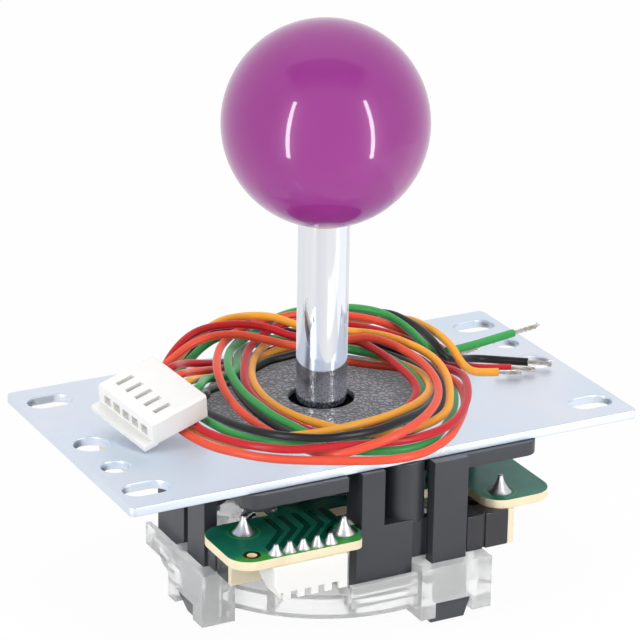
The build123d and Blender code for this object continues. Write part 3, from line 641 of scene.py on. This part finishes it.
def drop_from_plug(points):
    """How far each point in the plug's lower half has to go down to lie under the plug."""
    local = points @ plug_inverse[:3, :3].T + plug_inverse[:3, 3]
    low = np.array((-WIRE_R, -WIRE_R, -WIRE_R - PLUG_CLEAR))
    high = np.array((PLUG_END + WIRE_R, PLUG_ROW + WIRE_R, PLUG_HEIGHT / 2))
    inside = ((local > low) & (local < high)).all(axis=1)
    inside[: HELD_START + 2] = False
    drop = np.where(inside, local[:, 2] + WIRE_R + PLUG_CLEAR, 0)
    return drop[:, None] * plug_up


def relax(rest):
    """Moves the strands apart and smooths what moved."""
    moved = {name: np.zeros_like(course) for name, course in rest.items()}
    for _ in range(ROUNDS):
        now = {name: rest[name] + moved[name] for name in rest}
        for name, shift in moved.items():
            push = sum(push_off(now[name], now[other], other == name) for other in rest)
            shift += np.clip(push, -MOST_PUSH, MOST_PUSH)
            inner = shift[1:-1]
            shift[1:-1] = inner + SMOOTHING * (shift[:-2] + shift[2:] - 2 * inner)
            shift -= drop_from_plug(rest[name] + shift)
            here = rest[name] + shift
            shift[:, 2] += np.maximum(floor_height(here) - here[:, 2], 0)
            shift[:HELD_START] = 0
            shift[-HELD_END:] = 0
    return {name: rest[name] + moved[name] for name in rest}


wire_courses = relax(wire_courses)
for colour, course in wire_courses.items():
    print(colour, "heights", round(course[:, 2].min(), 2), "to", round(course[:, 2].max(), 2))

# %% Wire finishes
WIRE_TONES = {
    "red": tone(190, 30, 38),
    "orange": tone(228, 82, 56),
    "yellow": tone(240, 166, 54),
    "green": tone(56, 158, 78),
    "black": tone(26, 24, 24),
}
wire_materials = {}
for colour in COLOURS:
    material, shader = plastic(
        f"wire_{colour}", WIRE_TONES[colour], 0.34, drift=0.25, cloud=0.2, scale=1500.0
    )
    shader.inputs["Specular IOR Level"].default_value = 0.3
    wire_materials[colour] = material
print("wire finishes for", ", ".join(wire_materials))

# %% Make the wires
# The photo's shaft and plate mirror no wires, so these stay out of mirrors
BEVEL_STEPS, CURVE_STEPS, CURVE_ORDER = 4, 4, 3
wires = {}
for colour, course in wire_courses.items():
    curve = bpy.data.curves.new(f"wire_{colour}", "CURVE")
    curve.dimensions = "3D"
    curve.bevel_depth = WIRE_R * MM
    curve.bevel_resolution = BEVEL_STEPS
    curve.use_fill_caps = True
    spline = curve.splines.new("NURBS")
    spline.points.add(len(course) - 1)
    for point, place in zip(spline.points, course * MM):
        point.co = (*place, 1)
    spline.order_u = CURVE_ORDER
    spline.use_endpoint_u = True
    spline.resolution_u = CURVE_STEPS
    curve.materials.append(wire_materials[colour])
    wire = bpy.data.objects.new(f"wire_{colour}", curve)
    wire.visible_glossy = False
    bpy.context.scene.collection.objects.link(wire)
    wires[colour] = wire


def spline_points(curve_object):
    """Points along a curve with its bevel left off."""
    bare = curve_object.copy()
    bare.data = curve_object.data.copy()
    bare.data.bevel_depth = 0
    bpy.context.scene.collection.objects.link(bare)
    bpy.context.view_layer.update()
    mesh = bpy.data.meshes.new_from_object(bare.evaluated_get(bpy.context.evaluated_depsgraph_get()))
    places = np.array([vertex.co for vertex in mesh.vertices])
    bpy.data.meshes.remove(mesh)
    bpy.data.objects.remove(bare)
    return places


for colour, wire in wires.items():
    line = spline_points(wire)

# %% [markdown]
# ## Stripped wire ends
#
# Each tail ends in a few millimetres of bare, tinned strands. Real strands are twisted and spread a
# little at the cut. Seven bent lines per tail carry that, and one small tree turns any set of
# lines into round threads.

# %% Thread tree
thread_tree, thread_in, thread_out = geometry_tree(
    "threads", {"Radius": "value", "Sides": "count", "Material": "material"}
)
thread_curve = add_node(thread_tree, "GeometryNodeMeshToCurve", {"Mesh": thread_in["Geometry"]})
thread_round = add_node(
    thread_tree,
    "GeometryNodeCurvePrimitiveCircle",
    {"Resolution": thread_in["Sides"], "Radius": thread_in["Radius"]},
)
sweep(thread_tree, thread_in, thread_curve, thread_round, thread_out)

# %% Bare strands
STRAND_LENGTHS = {"green": 6.1, "orange": 5.3, "black": 4.2, "red": 4.3, "yellow": 4.0}
THREAD_R, THREAD_RING, THREAD_SPLAY, THREAD_TURN, THREAD_POINTS = 0.13, 0.27, 0.12, 0.16, 18
OUTER_THREADS, THREAD_SIDES, THREAD_ROOT, THREAD_SHORTER = 6, 8, -0.6, 0.03
tinned, _ = metal("tinned_strands", tone(206, 204, 198), tone(178, 170, 160), 0.3, scale=900.0)
for number, colour in enumerate(COLOURS):
    before, end = (Vector(place) for place in TAIL_ROUTES[colour][-2:])
    heading = (end - before).normalized()
    across = heading.cross(Vector((0, 0, 1))).normalized()
    above = across.cross(heading)
    length = STRAND_LENGTHS[colour]
    threads = [[end + heading * along for along in np.linspace(THREAD_ROOT, length, THREAD_POINTS)]]
    for thread in range(OUTER_THREADS):
        # The remainders give each thread its own end and its own splay
        tip = length * (1 - THREAD_SHORTER * ((thread * 5 + number) % 4))
        splay = THREAD_SPLAY * ((thread + number) % 3)
        line = []
        for along in np.linspace(THREAD_ROOT, tip, THREAD_POINTS):
            angle = 2 * math.pi * (thread / OUTER_THREADS + THREAD_TURN * along)
            out = THREAD_RING + splay * max(along / length, 0) ** 3
            aside = across * (out * math.cos(angle)) + above * (out * math.sin(angle))
            line.append(end + heading * along + aside)
        threads.append(line)
    bundle = grow(
        f"bare_strands_{colour}",
        line_mesh(f"bare_strands_{colour}", threads),
        thread_tree,
        {"Radius": THREAD_R * MM, "Sides": THREAD_SIDES, "Material": tinned},
    )
    stand_for(bundle, f"strands_{colour}")

# %% [markdown]
# ## Mounting plate
#
# The plate is cut from steel sheet and zinc plated. Plating has a cool, slightly iridescent tone
# that drifts between blue and lilac over a few centimetres, so the metal group mixes two such
# tones slowly. The cut edges are only lightly broken.

# %% Plate
blue_zinc, lilac_zinc = tone(215, 227, 240), tone(226, 230, 240)
zinc, _ = metal("zinc_plate", blue_zinc, lilac_zinc, 0.46, cloud=0.12, scale=38.0, bump=0.06)
dressed("mounting_plate", "plate", zinc, 0.22)

# %% [markdown]
# ## Ball, shaft and washer
#
# The ball is polished, solid-coloured plastic, which a clear coat over a slightly softer base shows
# well. The shaft is hard chrome. Both are turned, so both come from a lathe profile. The washer is
# punched from grained sheet: its cracked, wrinkled skin is a warped cell pattern.

# %% Ball
BALL_R, BALL_HEIGHT, SHAFT_R = 17.5, 50.0, 4.4
BALL_FOOT = BALL_HEIGHT - math.sqrt(BALL_R**2 - SHAFT_R**2)
BALL_RINGS, BALL_STEPS, FOOT_RING = 72, 144, 0.6
start_angle = math.asin((BALL_FOOT - BALL_HEIGHT) / BALL_R)
ball_profile = [(0, BALL_FOOT), (SHAFT_R * FOOT_RING, BALL_FOOT)]
for angle in np.linspace(start_angle, math.pi / 2, BALL_RINGS):
    ball_profile.append((max(BALL_R * math.cos(angle), 0), BALL_HEIGHT + BALL_R * math.sin(angle)))
PURPLE = tone(144, 44, 132)
purple, purple_shader = plastic("ball_plastic", PURPLE, 0.3, drift=0.06, cloud=0.04, bump=0.02)
set_inputs(
    purple_shader,
    {
        "Coat Weight": 0.7,
        "Coat Roughness": 0.04,
        "Specular IOR Level": 0.2,
        "Subsurface Weight": 0.12,
        "Subsurface Radius": (0.6, 0.25, 0.5),
        "Subsurface Scale": 0.004,
    },
)
ball = turned("purple_ball", ball_profile, purple, steps=BALL_STEPS)
stand_for(ball, "ball_top")

# %% Shaft
SHOULDER, RING_TOP, RING_THICKNESS = -1.05, -20.05, 0.8
SPINDLE_R, SPINDLE_END, GROOVE, EDGE = 3.5, -29.0, 0.7, 0.5
STUD_R, STUD_LENGTH, SHOULDER_EDGE = 3.0, 11.0, 0.15
SLOT_WIDTH, SLOT_DEPTH, CUTTER_LENGTH = 1.2, 1.4, 4 * SPINDLE_R
shaft_profile = [
    (0, SPINDLE_END),
    (SPINDLE_R - EDGE, SPINDLE_END),
    (SPINDLE_R, SPINDLE_END + EDGE),
    (SPINDLE_R, RING_TOP - RING_THICKNESS),
    (SPINDLE_R - GROOVE, RING_TOP - RING_THICKNESS),
    (SPINDLE_R - GROOVE, RING_TOP),
    (SPINDLE_R, RING_TOP),
    (SPINDLE_R, SHOULDER),
    (SHAFT_R - SHOULDER_EDGE, SHOULDER),
    (SHAFT_R, SHOULDER + SHOULDER_EDGE),
    (SHAFT_R, BALL_FOOT),
    (STUD_R, BALL_FOOT),
    (STUD_R, BALL_FOOT + STUD_LENGTH - EDGE),
    (STUD_R - EDGE, BALL_FOOT + STUD_LENGTH),
    (0, BALL_FOOT + STUD_LENGTH),
]
chrome, _ = metal(
    "chrome_shaft",
    tone(232, 234, 238),
    tone(212, 215, 224),
    0.05,
    cloud=0.03,
    scale=260.0,
    stretch=(1, 1, 0.02),
    bump=0.02,
)
shaft = turned("chrome_rod", shaft_profile, chrome)
cutter_mesh = bpy.data.meshes.new("slot_cutter")
cutter_work = bmesh.new()
bmesh.ops.create_cube(
    cutter_work,
    size=1.0,
    matrix=Matrix.Translation((0, 0, SPINDLE_END * MM))
    @ Matrix.Diagonal((CUTTER_LENGTH * MM, SLOT_WIDTH * MM, 2 * SLOT_DEPTH * MM, 1)),
)
cutter_work.to_mesh(cutter_mesh)
cutter_work.free()
cutter = link_mesh("slot_cutter", cutter_mesh)
cut = shaft.modifiers.new("driver slot", "BOOLEAN")
cut.object = cutter
cut.solver = "EXACT"
plain_mesh(shaft)
shaft.data.set_sharp_from_angle(angle=SHARP)
bpy.data.objects.remove(cutter)
stand_for(shaft, "shaft")

# %% Washer
WASHER_BORE, WASHER_EDGE, WASHER_STEPS = 5.7, 0.15, 128
washer_profile = [
    (WASHER_BORE, 0),
    (WASHER_R, 0),
    (WASHER_R, WASHER_TOP - WASHER_EDGE),
    (WASHER_R - WASHER_EDGE, WASHER_TOP),
    (WASHER_BORE + WASHER_EDGE, WASHER_TOP),
    (WASHER_BORE, WASHER_TOP - WASHER_EDGE),
]
WARP_SCALE, WARP_DETAIL, WARP_REACH = 700.0, 3.0, (0.0012, 0.0012, 0.0)
CELL_SCALE, CRACK_WIDTH, CRACK_STRENGTH, CRACK_DEPTH = 1000.0, 0.22, 0.8, 0.00018
grained, grained_shader = start_material("grained_sheet", tone(88, 89, 96), 0.32)
grain = grained.node_tree
grain_at = object_place(grain)
grain_shift = add_node(
    grain,
    "ShaderNodeVectorMath",
    {0: noise(grain, grain_at, WARP_SCALE, WARP_DETAIL, "Color"), 1: WARP_REACH, 2: grain_at},
    operation="MULTIPLY_ADD",
)
grain_cells = add_node(
    grain,
    "ShaderNodeTexVoronoi",
    {"Vector": grain_shift.outputs[0], "Scale": CELL_SCALE},
    feature="DISTANCE_TO_EDGE",
)
grain_ridge = span(grain, grain_cells.outputs["Distance"], 0.0, CRACK_WIDTH)
grain_tone = mixed(grain, grain_ridge, tone(50, 50, 55), tone(140, 141, 151))
grain.links.new(grain_tone, grained_shader.inputs["Base Color"])
dented(grain, grained_shader, grain_ridge, CRACK_STRENGTH, CRACK_DEPTH)
washer = turned("grained_washer", washer_profile, grained, steps=WASHER_STEPS, ring=True)
stand_for(washer, "dust_washer")

# %% [markdown]
# ## Housing, pivot and spring
#
# The housing, the pivot ball and the actuator are black mouldings with a faintly speckled satin skin.
# The spring sits between the deck and the actuator. It is made as two halves, one above the
# other.

# %% Black mouldings
SATIN_BLACK = tone(50, 53, 59)
black, _ = plastic(
    "black_moulding", SATIN_BLACK, 0.4, drift=0.35, cloud=0.25, scale=2600.0, bump=0.25, depth=0.00003
)
dressed("housing", "black_housing", black, 0.2, clamp=True)
slick, _ = plastic("slick_black", tone(30, 30, 32), 0.3, drift=0.2, cloud=0.1)
dressed("pivot_ball", "pivot", slick, 0.12)
dressed("actuator", "switch_pusher", slick, 0.2)

# %% Spring
SPRING_TOP, SPRING_MIDDLE, SPRING_FOOT = -4.15, -7.9, -11.65
SPRING_R, SPRING_WIRE, SPRING_TURNS = 10.6, 1.2, 3.5
SPRING_STEPS, SPRING_SIDES = 48, 14
spring_tree, spring_in, spring_out = geometry_tree(
    "spring_half",
    {"Turns": "value", "Radius": "value", "Height": "value", "Wire": "value", "Material": "material"},
)
spring_curve = add_node(
    spring_tree,
    "GeometryNodeCurveSpiral",
    {
        "Resolution": SPRING_STEPS,
        "Rotations": spring_in["Turns"],
        "Start Radius": spring_in["Radius"],
        "End Radius": spring_in["Radius"],
        "Height": spring_in["Height"],
    },
)
spring_round = add_node(
    spring_tree,
    "GeometryNodeCurvePrimitiveCircle",
    {"Resolution": SPRING_SIDES, "Radius": spring_in["Wire"]},
)
sweep(spring_tree, spring_in, spring_curve, spring_round, spring_out)
steel, _ = metal("bright_steel", tone(188, 190, 196), tone(160, 162, 168), 0.28, scale=300.0)
spring_rise = (SPRING_TOP - SPRING_FOOT - SPRING_WIRE) / 2
HALFWAY_ANGLE, LOWEST_TURN = SPRING_TURNS * math.pi, SPRING_FOOT + SPRING_WIRE / 2
SPRING_HALVES = {
    "spring_upper": (SPRING_MIDDLE, HALFWAY_ANGLE, SPRING_TOP, SPRING_MIDDLE, "base", "spring"),
    "spring_lower": (LOWEST_TURN, 0.0, SPRING_MIDDLE, SPRING_FOOT, "spring", "carrier"),
}
for name, (foot, turn, high, low, *bodies) in SPRING_HALVES.items():
    half = grow(
        name,
        bpy.data.meshes.new(name),
        spring_tree,
        {
            "Turns": SPRING_TURNS / 2,
            "Radius": SPRING_R * MM,
            "Height": spring_rise * MM,
            "Wire": SPRING_WIRE / 2 * MM,
            "Material": steel,
        },
    )
    half.data.transform(Matrix.Translation((0, 0, foot * MM)) @ Matrix.Rotation(turn, 4, "Z"))
    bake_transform(half)
    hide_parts("centring_spring")
    print(name, "has", len(half.data.polygons), "faces")

# %% [markdown]
# ## Circuit board
#
# The board is glass fibre under a green lacquer: deep teal on top with paler green over the bare
# border, and raw cream fibre on the sawn edges. Copper tracks stand a hair proud under the lacquer.
# They and the pad rings follow lines, so one tree lays a flat ribbon along each.

# %% Board lacquer and edge
BORDER_INNER, BORDER_OUTER = -0.0276, -0.0292
PATCH_SCALE, PATCH_DETAIL = 160.0, 3.0
WEAVE_SCALE, WEAVE_DETAIL, WEAVE_STRENGTH, WEAVE_DEPTH = 1800.0, 2.0, 0.08, 0.00002
lacquer, lacquer_shader = start_material("board_lacquer", tone(22, 118, 94), 0.24)
paint = lacquer.node_tree
paint_at = object_place(paint)
paint_axes = add_node(paint, "ShaderNodeSeparateXYZ", {0: paint_at})
paint_border = span(paint, paint_axes.outputs["Y"], BORDER_INNER, BORDER_OUTER)
paint_patch = noise(paint, paint_at, PATCH_SCALE, PATCH_DETAIL)
paint_field = mixed(paint, paint_patch, tone(18, 98, 82), tone(34, 138, 104))
paint_tone = mixed(paint, paint_border, paint_field, tone(64, 150, 62))
paint.links.new(paint_tone, lacquer_shader.inputs["Base Color"])
paint_weave = noise(paint, paint_at, WEAVE_SCALE, WEAVE_DETAIL)
dented(paint, lacquer_shader, paint_weave, WEAVE_STRENGTH, WEAVE_DEPTH)
fibre, _ = plastic(
    "sawn_fibre", tone(236, 222, 190), 0.7, drift=0.5, cloud=0.2, scale=3200.0, bump=0.8, depth=0.0001
)
print("lacquer has", len(paint.nodes), "nodes")

# %% Board
UPRIGHT = 0.6
board = dressed("circuit_board", "green_board", lacquer, 0.1)
board.data.materials.append(fibre)
for face in board.data.polygons:
    if abs(face.normal.z) < UPRIGHT:
        face.material_index = 1

# %% Tracks and rings
BOARD_TOP = -11.4
FIRST_CONTACT, CONTACT_Y = -23.4, -29.5
CONTACT_XS = [FIRST_CONTACT + PLUG_PITCH_MM * place for place in range(len(COLOURS))]
TRACK_LIFT, TRACK_HEIGHT, TRACK_WIDTH = 0.01, 0.05, 1.1
TRACK_TURNS = ((0, 0.6), (0, 2.6), (4.6, 7.2), (4.6, 12.6))
PAD_RING_R, PAD_RING_WIDTH = 2.7, 0.35
SPARE_RING_R, SPARE_RING_WIDTH = 1.15, 0.55
LARGE_JOINTS = ((-24.5, -19.9), (-9.65, -27.0), (22.0, -24.0), (24.0, 22.0), (-22.0, 24.0))
SPARE_HOLE = (-27.1, -28.4)
ribbon_tree, ribbon_in, ribbon_out = geometry_tree(
    "ribbons", {"Width": "value", "Height": "value", "Material": "material"}
)
ribbon_curve = add_node(ribbon_tree, "GeometryNodeMeshToCurve", {"Mesh": ribbon_in["Geometry"]})
ribbon_level = add_node(
    ribbon_tree, "GeometryNodeSetCurveNormal", {"Curve": ribbon_curve.outputs[0]}, mode="Z_UP"
)
ribbon_shape = add_node(
    ribbon_tree,
    "GeometryNodeCurvePrimitiveQuadrilateral",
    {"Width": ribbon_in["Width"], "Height": ribbon_in["Height"]},
)
sweep(ribbon_tree, ribbon_in, ribbon_level, ribbon_shape, ribbon_out)


def circle(centre, radius, height, points=40):
    """Points round a level circle in mm."""
    return [(centre[0] + x, centre[1] + y, height) for x, y in ring_points(radius, points)]


def lay_ribbons(name, lines, width, finish, closed=False):
    """Flat ribbons on the board along lines of points in mm."""
    piece = grow(
        name,
        line_mesh(name, lines, closed),
        ribbon_tree,
        {"Width": width * MM, "Height": TRACK_HEIGHT * MM, "Material": finish},
    )
    for face in piece.data.polygons:
        face.use_smooth = False
    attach(piece, "base")
    print(name, "has", len(piece.data.polygons), "faces")


track_height = BOARD_TOP + TRACK_LIFT
track_lines = [[(x + dx, CONTACT_Y + dy, track_height) for dx, dy in TRACK_TURNS] for x in CONTACT_XS]
track_green, _ = plastic("lacquered_track", tone(6, 74, 58), 0.24, drift=0.2, cloud=0.05)
lay_ribbons("board_tracks", track_lines, TRACK_WIDTH, track_green)
ring_green, _ = plastic("lacquered_ring", tone(48, 150, 84), 0.24, drift=0.2, cloud=0.05)
pad_rings = [circle(place, PAD_RING_R, track_height) for place in LARGE_JOINTS]
lay_ribbons("pad_rings", pad_rings, PAD_RING_WIDTH, ring_green, closed=True)
gilt, _ = metal("gilt_ring", tone(206, 156, 84), tone(170, 112, 58), 0.3, scale=900.0)
spare_rings = [circle(SPARE_HOLE, SPARE_RING_R, track_height)]
lay_ribbons("spare_ring", spare_rings, SPARE_RING_WIDTH, gilt, closed=True)

# %% [markdown]
# ## Solder and pins
#
# Hand soldering leaves small volcanoes: a wide wetted foot, a hollow slope and a blunt tip round the
# pin. Two turned shapes are set out on the pins by a tree that tilts and scales each one a little,
# with a fixed seed, so no two look alike.

# %% Solder
SMALL_JOINTS = [(x, CONTACT_Y) for x in CONTACT_XS]
SMALL_JOINTS += [(-16.5, -13.8), (13.8, -16.5), (16.5, 13.8), (-13.8, 16.5)]
JOINT_SHAPES = {"large": (1.95, 2.9, LARGE_JOINTS), "small": (1.28, 1.7, SMALL_JOINTS)}
JOINT_TIP, JOINT_TILT, JOINT_TURN, JOINT_SPREAD = 0.42, 0.05, 3.1, 0.06
JOINT_SINK, JOINT_LIP, JOINT_HOLLOW, JOINT_RINGS, JOINT_STEPS = 0.05, 0.03, 1.7, 14, 28
FOOT_SHARE, TIP_ROUND = 0.04, ((0.7, 0.12), (0, 0.16))
solder_tree, solder_in, solder_out = geometry_tree(
    "solder_on_pins",
    {"Joint": "object", "Tilt": "value", "Spread": "value", "Seed": "count", "Material": "material"},
)
solder_shape = add_node(solder_tree, "GeometryNodeObjectInfo", {"Object": solder_in["Joint"]})
solder_ends = {}
for end, way in enumerate((-1, 1)):
    lean = maths(solder_tree, "MULTIPLY", solder_in["Tilt"], way)
    values = {"X": lean, "Y": lean, "Z": way * JOINT_TURN}
    solder_ends[end] = add_node(solder_tree, "ShaderNodeCombineXYZ", values).outputs[0]
solder_seed = {"Seed": solder_in["Seed"]}
solder_tilt = add_node(
    solder_tree, "FunctionNodeRandomValue", {**solder_ends, **solder_seed}, data_type="FLOAT_VECTOR"
)
# Sockets 2 and 3 are the lowest and highest number
solder_sizes = {2: maths(solder_tree, "SUBTRACT", 1.0, solder_in["Spread"]), 3: 1.0}
solder_size = add_node(
    solder_tree, "FunctionNodeRandomValue", {**solder_sizes, **solder_seed}, data_type="FLOAT"
)
solder_set = add_node(
    solder_tree,
    "GeometryNodeInstanceOnPoints",
    {
        "Points": solder_in["Geometry"],
        "Instance": solder_shape.outputs["Geometry"],
        "Rotation": solder_tilt.outputs[0],
        "Scale": solder_size.outputs[1],
    },
)
end_tree(solder_tree, solder_in, solder_set.outputs[0], solder_out)
bright, dull = tone(228, 228, 230), tone(196, 196, 200)
solder, _ = metal("bright_solder", bright, dull, 0.36, cloud=0.2, scale=800.0, bump=0.3, depth=0.00004)
for seed, (size, (foot, height, places)) in enumerate(JOINT_SHAPES.items()):
    slope = [(0, -JOINT_SINK), (foot, -JOINT_SINK), (foot, JOINT_LIP)]
    for share in np.linspace(FOOT_SHARE, 1.0, JOINT_RINGS):
        slope.append((JOINT_TIP + (foot - JOINT_TIP) * (1 - share) ** JOINT_HOLLOW, height * share))
    slope += [(JOINT_TIP * out, height + rise) for out, rise in TIP_ROUND]
    shape = link_mesh(f"joint_{size}", lathe_mesh(f"joint_{size}", slope, steps=JOINT_STEPS))
    pins = bpy.data.meshes.new(f"solder_{size}")
    pins.from_pydata([(x * MM, y * MM, BOARD_TOP * MM) for x, y in places], [], [])
    joints = grow(
        f"solder_{size}",
        pins,
        solder_tree,
        {"Joint": shape, "Tilt": JOINT_TILT, "Spread": JOINT_SPREAD, "Seed": seed, "Material": solder},
    )
    bpy.data.objects.remove(shape)
    stand_for(joints, "solder_joints")

# %% [markdown]
# ## Switches, header and plug
#
# The switches have a cream base and a dark, slightly glossy case. The header and the plug are
# unfilled nylon, which is white, a little translucent and rounded along every edge.

# %% Switches
cream, _ = plastic("switch_cream", tone(232, 218, 190), 0.42, drift=0.12)
case_black, _ = plastic("switch_black", tone(46, 46, 50), 0.26, drift=0.25, cloud=0.12, scale=1800.0)
for side in SIDES:
    dressed(f"switch_base_{side}", f"cream_base_{side}", cream, 0.15)
    dressed(f"switch_case_{side}", f"dark_case_{side}", case_black, 0.15)

# %% Header and plug
nylon, nylon_shader = plastic(
    "natural_nylon", tone(235, 234, 231), 0.38, drift=0.04, cloud=0.1, scale=1200.0
)
set_inputs(
    nylon_shader,
    {"Subsurface Weight": 0.35, "Subsurface Radius": (1.0, 0.9, 0.75), "Subsurface Scale": 0.002},
)
dressed("header", "white_header", nylon, 0.12)
dressed("plug_housing", "white_plug", nylon, 0.1, clamp=True)

for colour, wire in wires.items():
    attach(wire, "base")
    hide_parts("harness_coil", f"tail_{colour}")
print("declared", len(wires), "wires")

# %% [markdown]
# ## Clear gate
#
# The gate and its insert are clear, hard plastic. In a white room such a piece is seen by its edges:
# they bend the light and gather what is dark near by. So it gets true refraction, a faint surface
# cloud, and rounded edges that catch the light.

# %% Gate
CLEAR_TINT = (0.985, 0.988, 0.99, 1)
clear, clear_shader = plastic("clear_moulding", CLEAR_TINT, 0.05, drift=0.02, cloud=0.04, bump=0.02)
set_inputs(clear_shader, {"Transmission Weight": 0.7, "IOR": 1.22})
dressed("gate_frame", "clear_gate", clear, 0.25, clamp=True)
dressed("gate_insert", "clear_insert", clear, 0.25)

# %% [markdown]
# ## Small metal and hidden pieces
#
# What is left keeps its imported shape, which is already right, and only gets its finish: the screws,
# the retaining ring, the switch arms and plungers, the pins and the ball's insert.

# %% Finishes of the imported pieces
tin, _ = metal("tinned_contact", tone(212, 210, 204), tone(190, 186, 178), 0.3, scale=700.0)
brass, _ = metal("turned_brass", tone(214, 178, 104), tone(196, 156, 84), 0.28, scale=300.0)
button, _ = plastic("switch_button", tone(176, 60, 50), 0.35)
packed_finishes = {
    "plate_screws": steel,
    "retaining_ring": steel,
    "ball_insert": brass,
    "switch_terminals": tin,
    "header_pins": tin,
    "plug_contacts": tin,
}
for side in SIDES:
    packed_finishes[f"switch_arm_{side}"] = steel
    packed_finishes[f"switch_plunger_{side}"] = button
for node, finish in packed_finishes.items():
    for place in frame["nodes"][node].material_slots:
        place.material = finish
print("finished", len(packed_finishes), "packed pieces")

# %% [markdown]
# ## White studio
#
# The picture has a pure white ground. The world and the floor are white to the camera, to mirrors
# and through glass, while the light on the object stays at a plain level. It comes from the world, a
# wide soft lamp above and two upright strips, which are the bright streaks on the ball and the shaft.
# Two low lamps and a grey card overhead are seen only in mirrors.

# %% Room
FLOOR_HEIGHT, FLOOR_HALF, FLOOR_GLOW = cad_low.z, 3.0, 0.96
SKY_LIGHT, FLOOR_TONE = 0.45, (0.8, 0.8, 0.8, 1)


def seen_plainly(tree):
    """One for rays from the camera, from a mirror or through glass, nought for the rest."""
    rays = add_node(tree, "ShaderNodeLightPath").outputs
    seen = maths(tree, "MAXIMUM", rays["Is Camera Ray"], rays["Is Glossy Ray"])
    return maths(tree, "MAXIMUM", seen, rays["Is Transmission Ray"])


def show(tree, share, plain, white, end):
    """Mixes a plain shader with a white one by a share, as the tree's surface."""
    mix = add_node(tree, "ShaderNodeMixShader", {0: share, 1: plain.outputs[0], 2: white.outputs[0]})
    tree.links.new(mix.outputs[0], tree.nodes[end].inputs["Surface"])


bpy.context.scene.world = bpy.data.worlds.new("studio")
bpy.context.scene.world.use_nodes = True
sky = bpy.context.scene.world.node_tree
sky_plain = sky.nodes["Background"]
set_inputs(sky_plain, {"Color": WHITE, "Strength": SKY_LIGHT})
sky_white = add_node(sky, "ShaderNodeBackground", {"Color": WHITE, "Strength": 1.0})
show(sky, seen_plainly(sky), sky_plain, sky_white, "World Output")

floor = flat_sheet("floor", FLOOR_HALF, FLOOR_HALF, FLOOR_HEIGHT)
floor_finish, floor_shader = start_material("floor_white", FLOOR_TONE, 0.9)
floor_tree = floor_finish.node_tree
floor_glow = add_node(floor_tree, "ShaderNodeEmission", {"Color": WHITE, "Strength": 1.0})
floor_share = maths(floor_tree, "MULTIPLY", seen_plainly(floor_tree), FLOOR_GLOW)
show(floor_tree, floor_share, floor_shader, floor_glow, "Material Output")
floor.data.materials.append(floor_finish)
print("floor at", round(FLOOR_HEIGHT / MM, 1), "mm")

# %% Lamps
STRIP_SIZE, STRIP_POWER, STRIP_RISE = (0.015, 0.206), 0.2, 0.077
STRIPS = {"left_strip": (-0.175, -0.075), "right_strip": (0.071, -0.176)}
TOP_PLACE, TOP_SIZE, TOP_POWER, TOP_AIM = (0.1, 0.2, 0.9), (0.8, 0.8), 5.0, (0, 0, 0.02)
LOW_RISE, LOW_SHINE = 0.002, 0.26
LOW_LAMPS = {
    "shaft_card": ((0.165, -0.08), (0.17, 0.17)),
    "edge_card": ((0.055, -0.13), (0.14, 0.036)),
}


def soft_lamp(name, place, size, power, aim):
    """A rectangular lamp that faces its aim and can't be seen itself."""
    data = bpy.data.lights.new(name, "AREA")
    data.shape = "RECTANGLE"
    data.size, data.size_y = size
    data.energy = power
    lamp = bpy.data.objects.new(name, data)
    lamp.location = place
    lamp.rotation_euler = (Vector(aim) - Vector(place)).to_track_quat("-Z", "Y").to_euler()
    lamp.visible_camera = False
    bpy.context.scene.collection.objects.link(lamp)
    return lamp


for name, (x, y) in STRIPS.items():
    soft_lamp(name, (x, y, STRIP_RISE), STRIP_SIZE, STRIP_POWER, (0, 0, STRIP_RISE))
top_lamp = soft_lamp("top_lamp", TOP_PLACE, TOP_SIZE, TOP_POWER, TOP_AIM)
top_lamp.visible_glossy = False
for name, ((x, y), size) in LOW_LAMPS.items():
    height = FLOOR_HEIGHT + LOW_RISE
    power = LOW_SHINE * math.pi * size[0] * size[1]
    low_lamp = soft_lamp(name, (x, y, height), size, power, (x, y, height + 1))
    low_lamp.visible_diffuse = False
print("lamps:", ", ".join([*STRIPS, top_lamp.name, *LOW_LAMPS]))

# %% Grey card overhead
CARD_OUT, CARD_HEIGHT, CARD_HALF_X, CARD_HALF_Y, CARD_GREY = 0.36, 0.9, 0.75, 0.4, 0.72
# Along each axis, where the grey starts and where it is full
CARD_FADES = (
    ("X", -CARD_HALF_X, -0.5),
    ("X", CARD_HALF_X, 0.5),
    ("Y", -CARD_HALF_Y, -0.34),
    ("Y", CARD_HALF_Y, -0.12),
)
card_way = Vector((CAMERA_PLACE[0], CAMERA_PLACE[1], 0)).normalized()
card = flat_sheet("grey_card", CARD_HALF_X, CARD_HALF_Y)
card.location = card_way * CARD_OUT + Vector((0, 0, CARD_HEIGHT))
card.rotation_euler.z = math.atan2(card_way.y, card_way.x) - math.pi / 2
card_finish, _ = start_material("card_grey", WHITE, 1.0)
card_tree = card_finish.node_tree
card_axes = add_node(card_tree, "ShaderNodeSeparateXYZ", {0: object_place(card_tree)})
card_shade = CARD_GREY
for axis, edge, full in CARD_FADES:
    fade = span(card_tree, card_axes.outputs[axis], edge, full, interpolation_type="SMOOTHSTEP")
    card_shade = maths(card_tree, "MULTIPLY", fade, card_shade)
card_level = maths(card_tree, "SUBTRACT", 1.0, card_shade)
card_glow = add_node(card_tree, "ShaderNodeEmission", {"Color": WHITE, "Strength": card_level})
card_tree.links.new(card_glow.outputs[0], card_tree.nodes["Material Output"].inputs["Surface"])
card.data.materials.append(card_finish)
card.visible_camera = card.visible_diffuse = False
card.visible_transmission = card.visible_shadow = False
print("grey card", 2 * CARD_HALF_X, "by", 2 * CARD_HALF_Y, "m overhead")
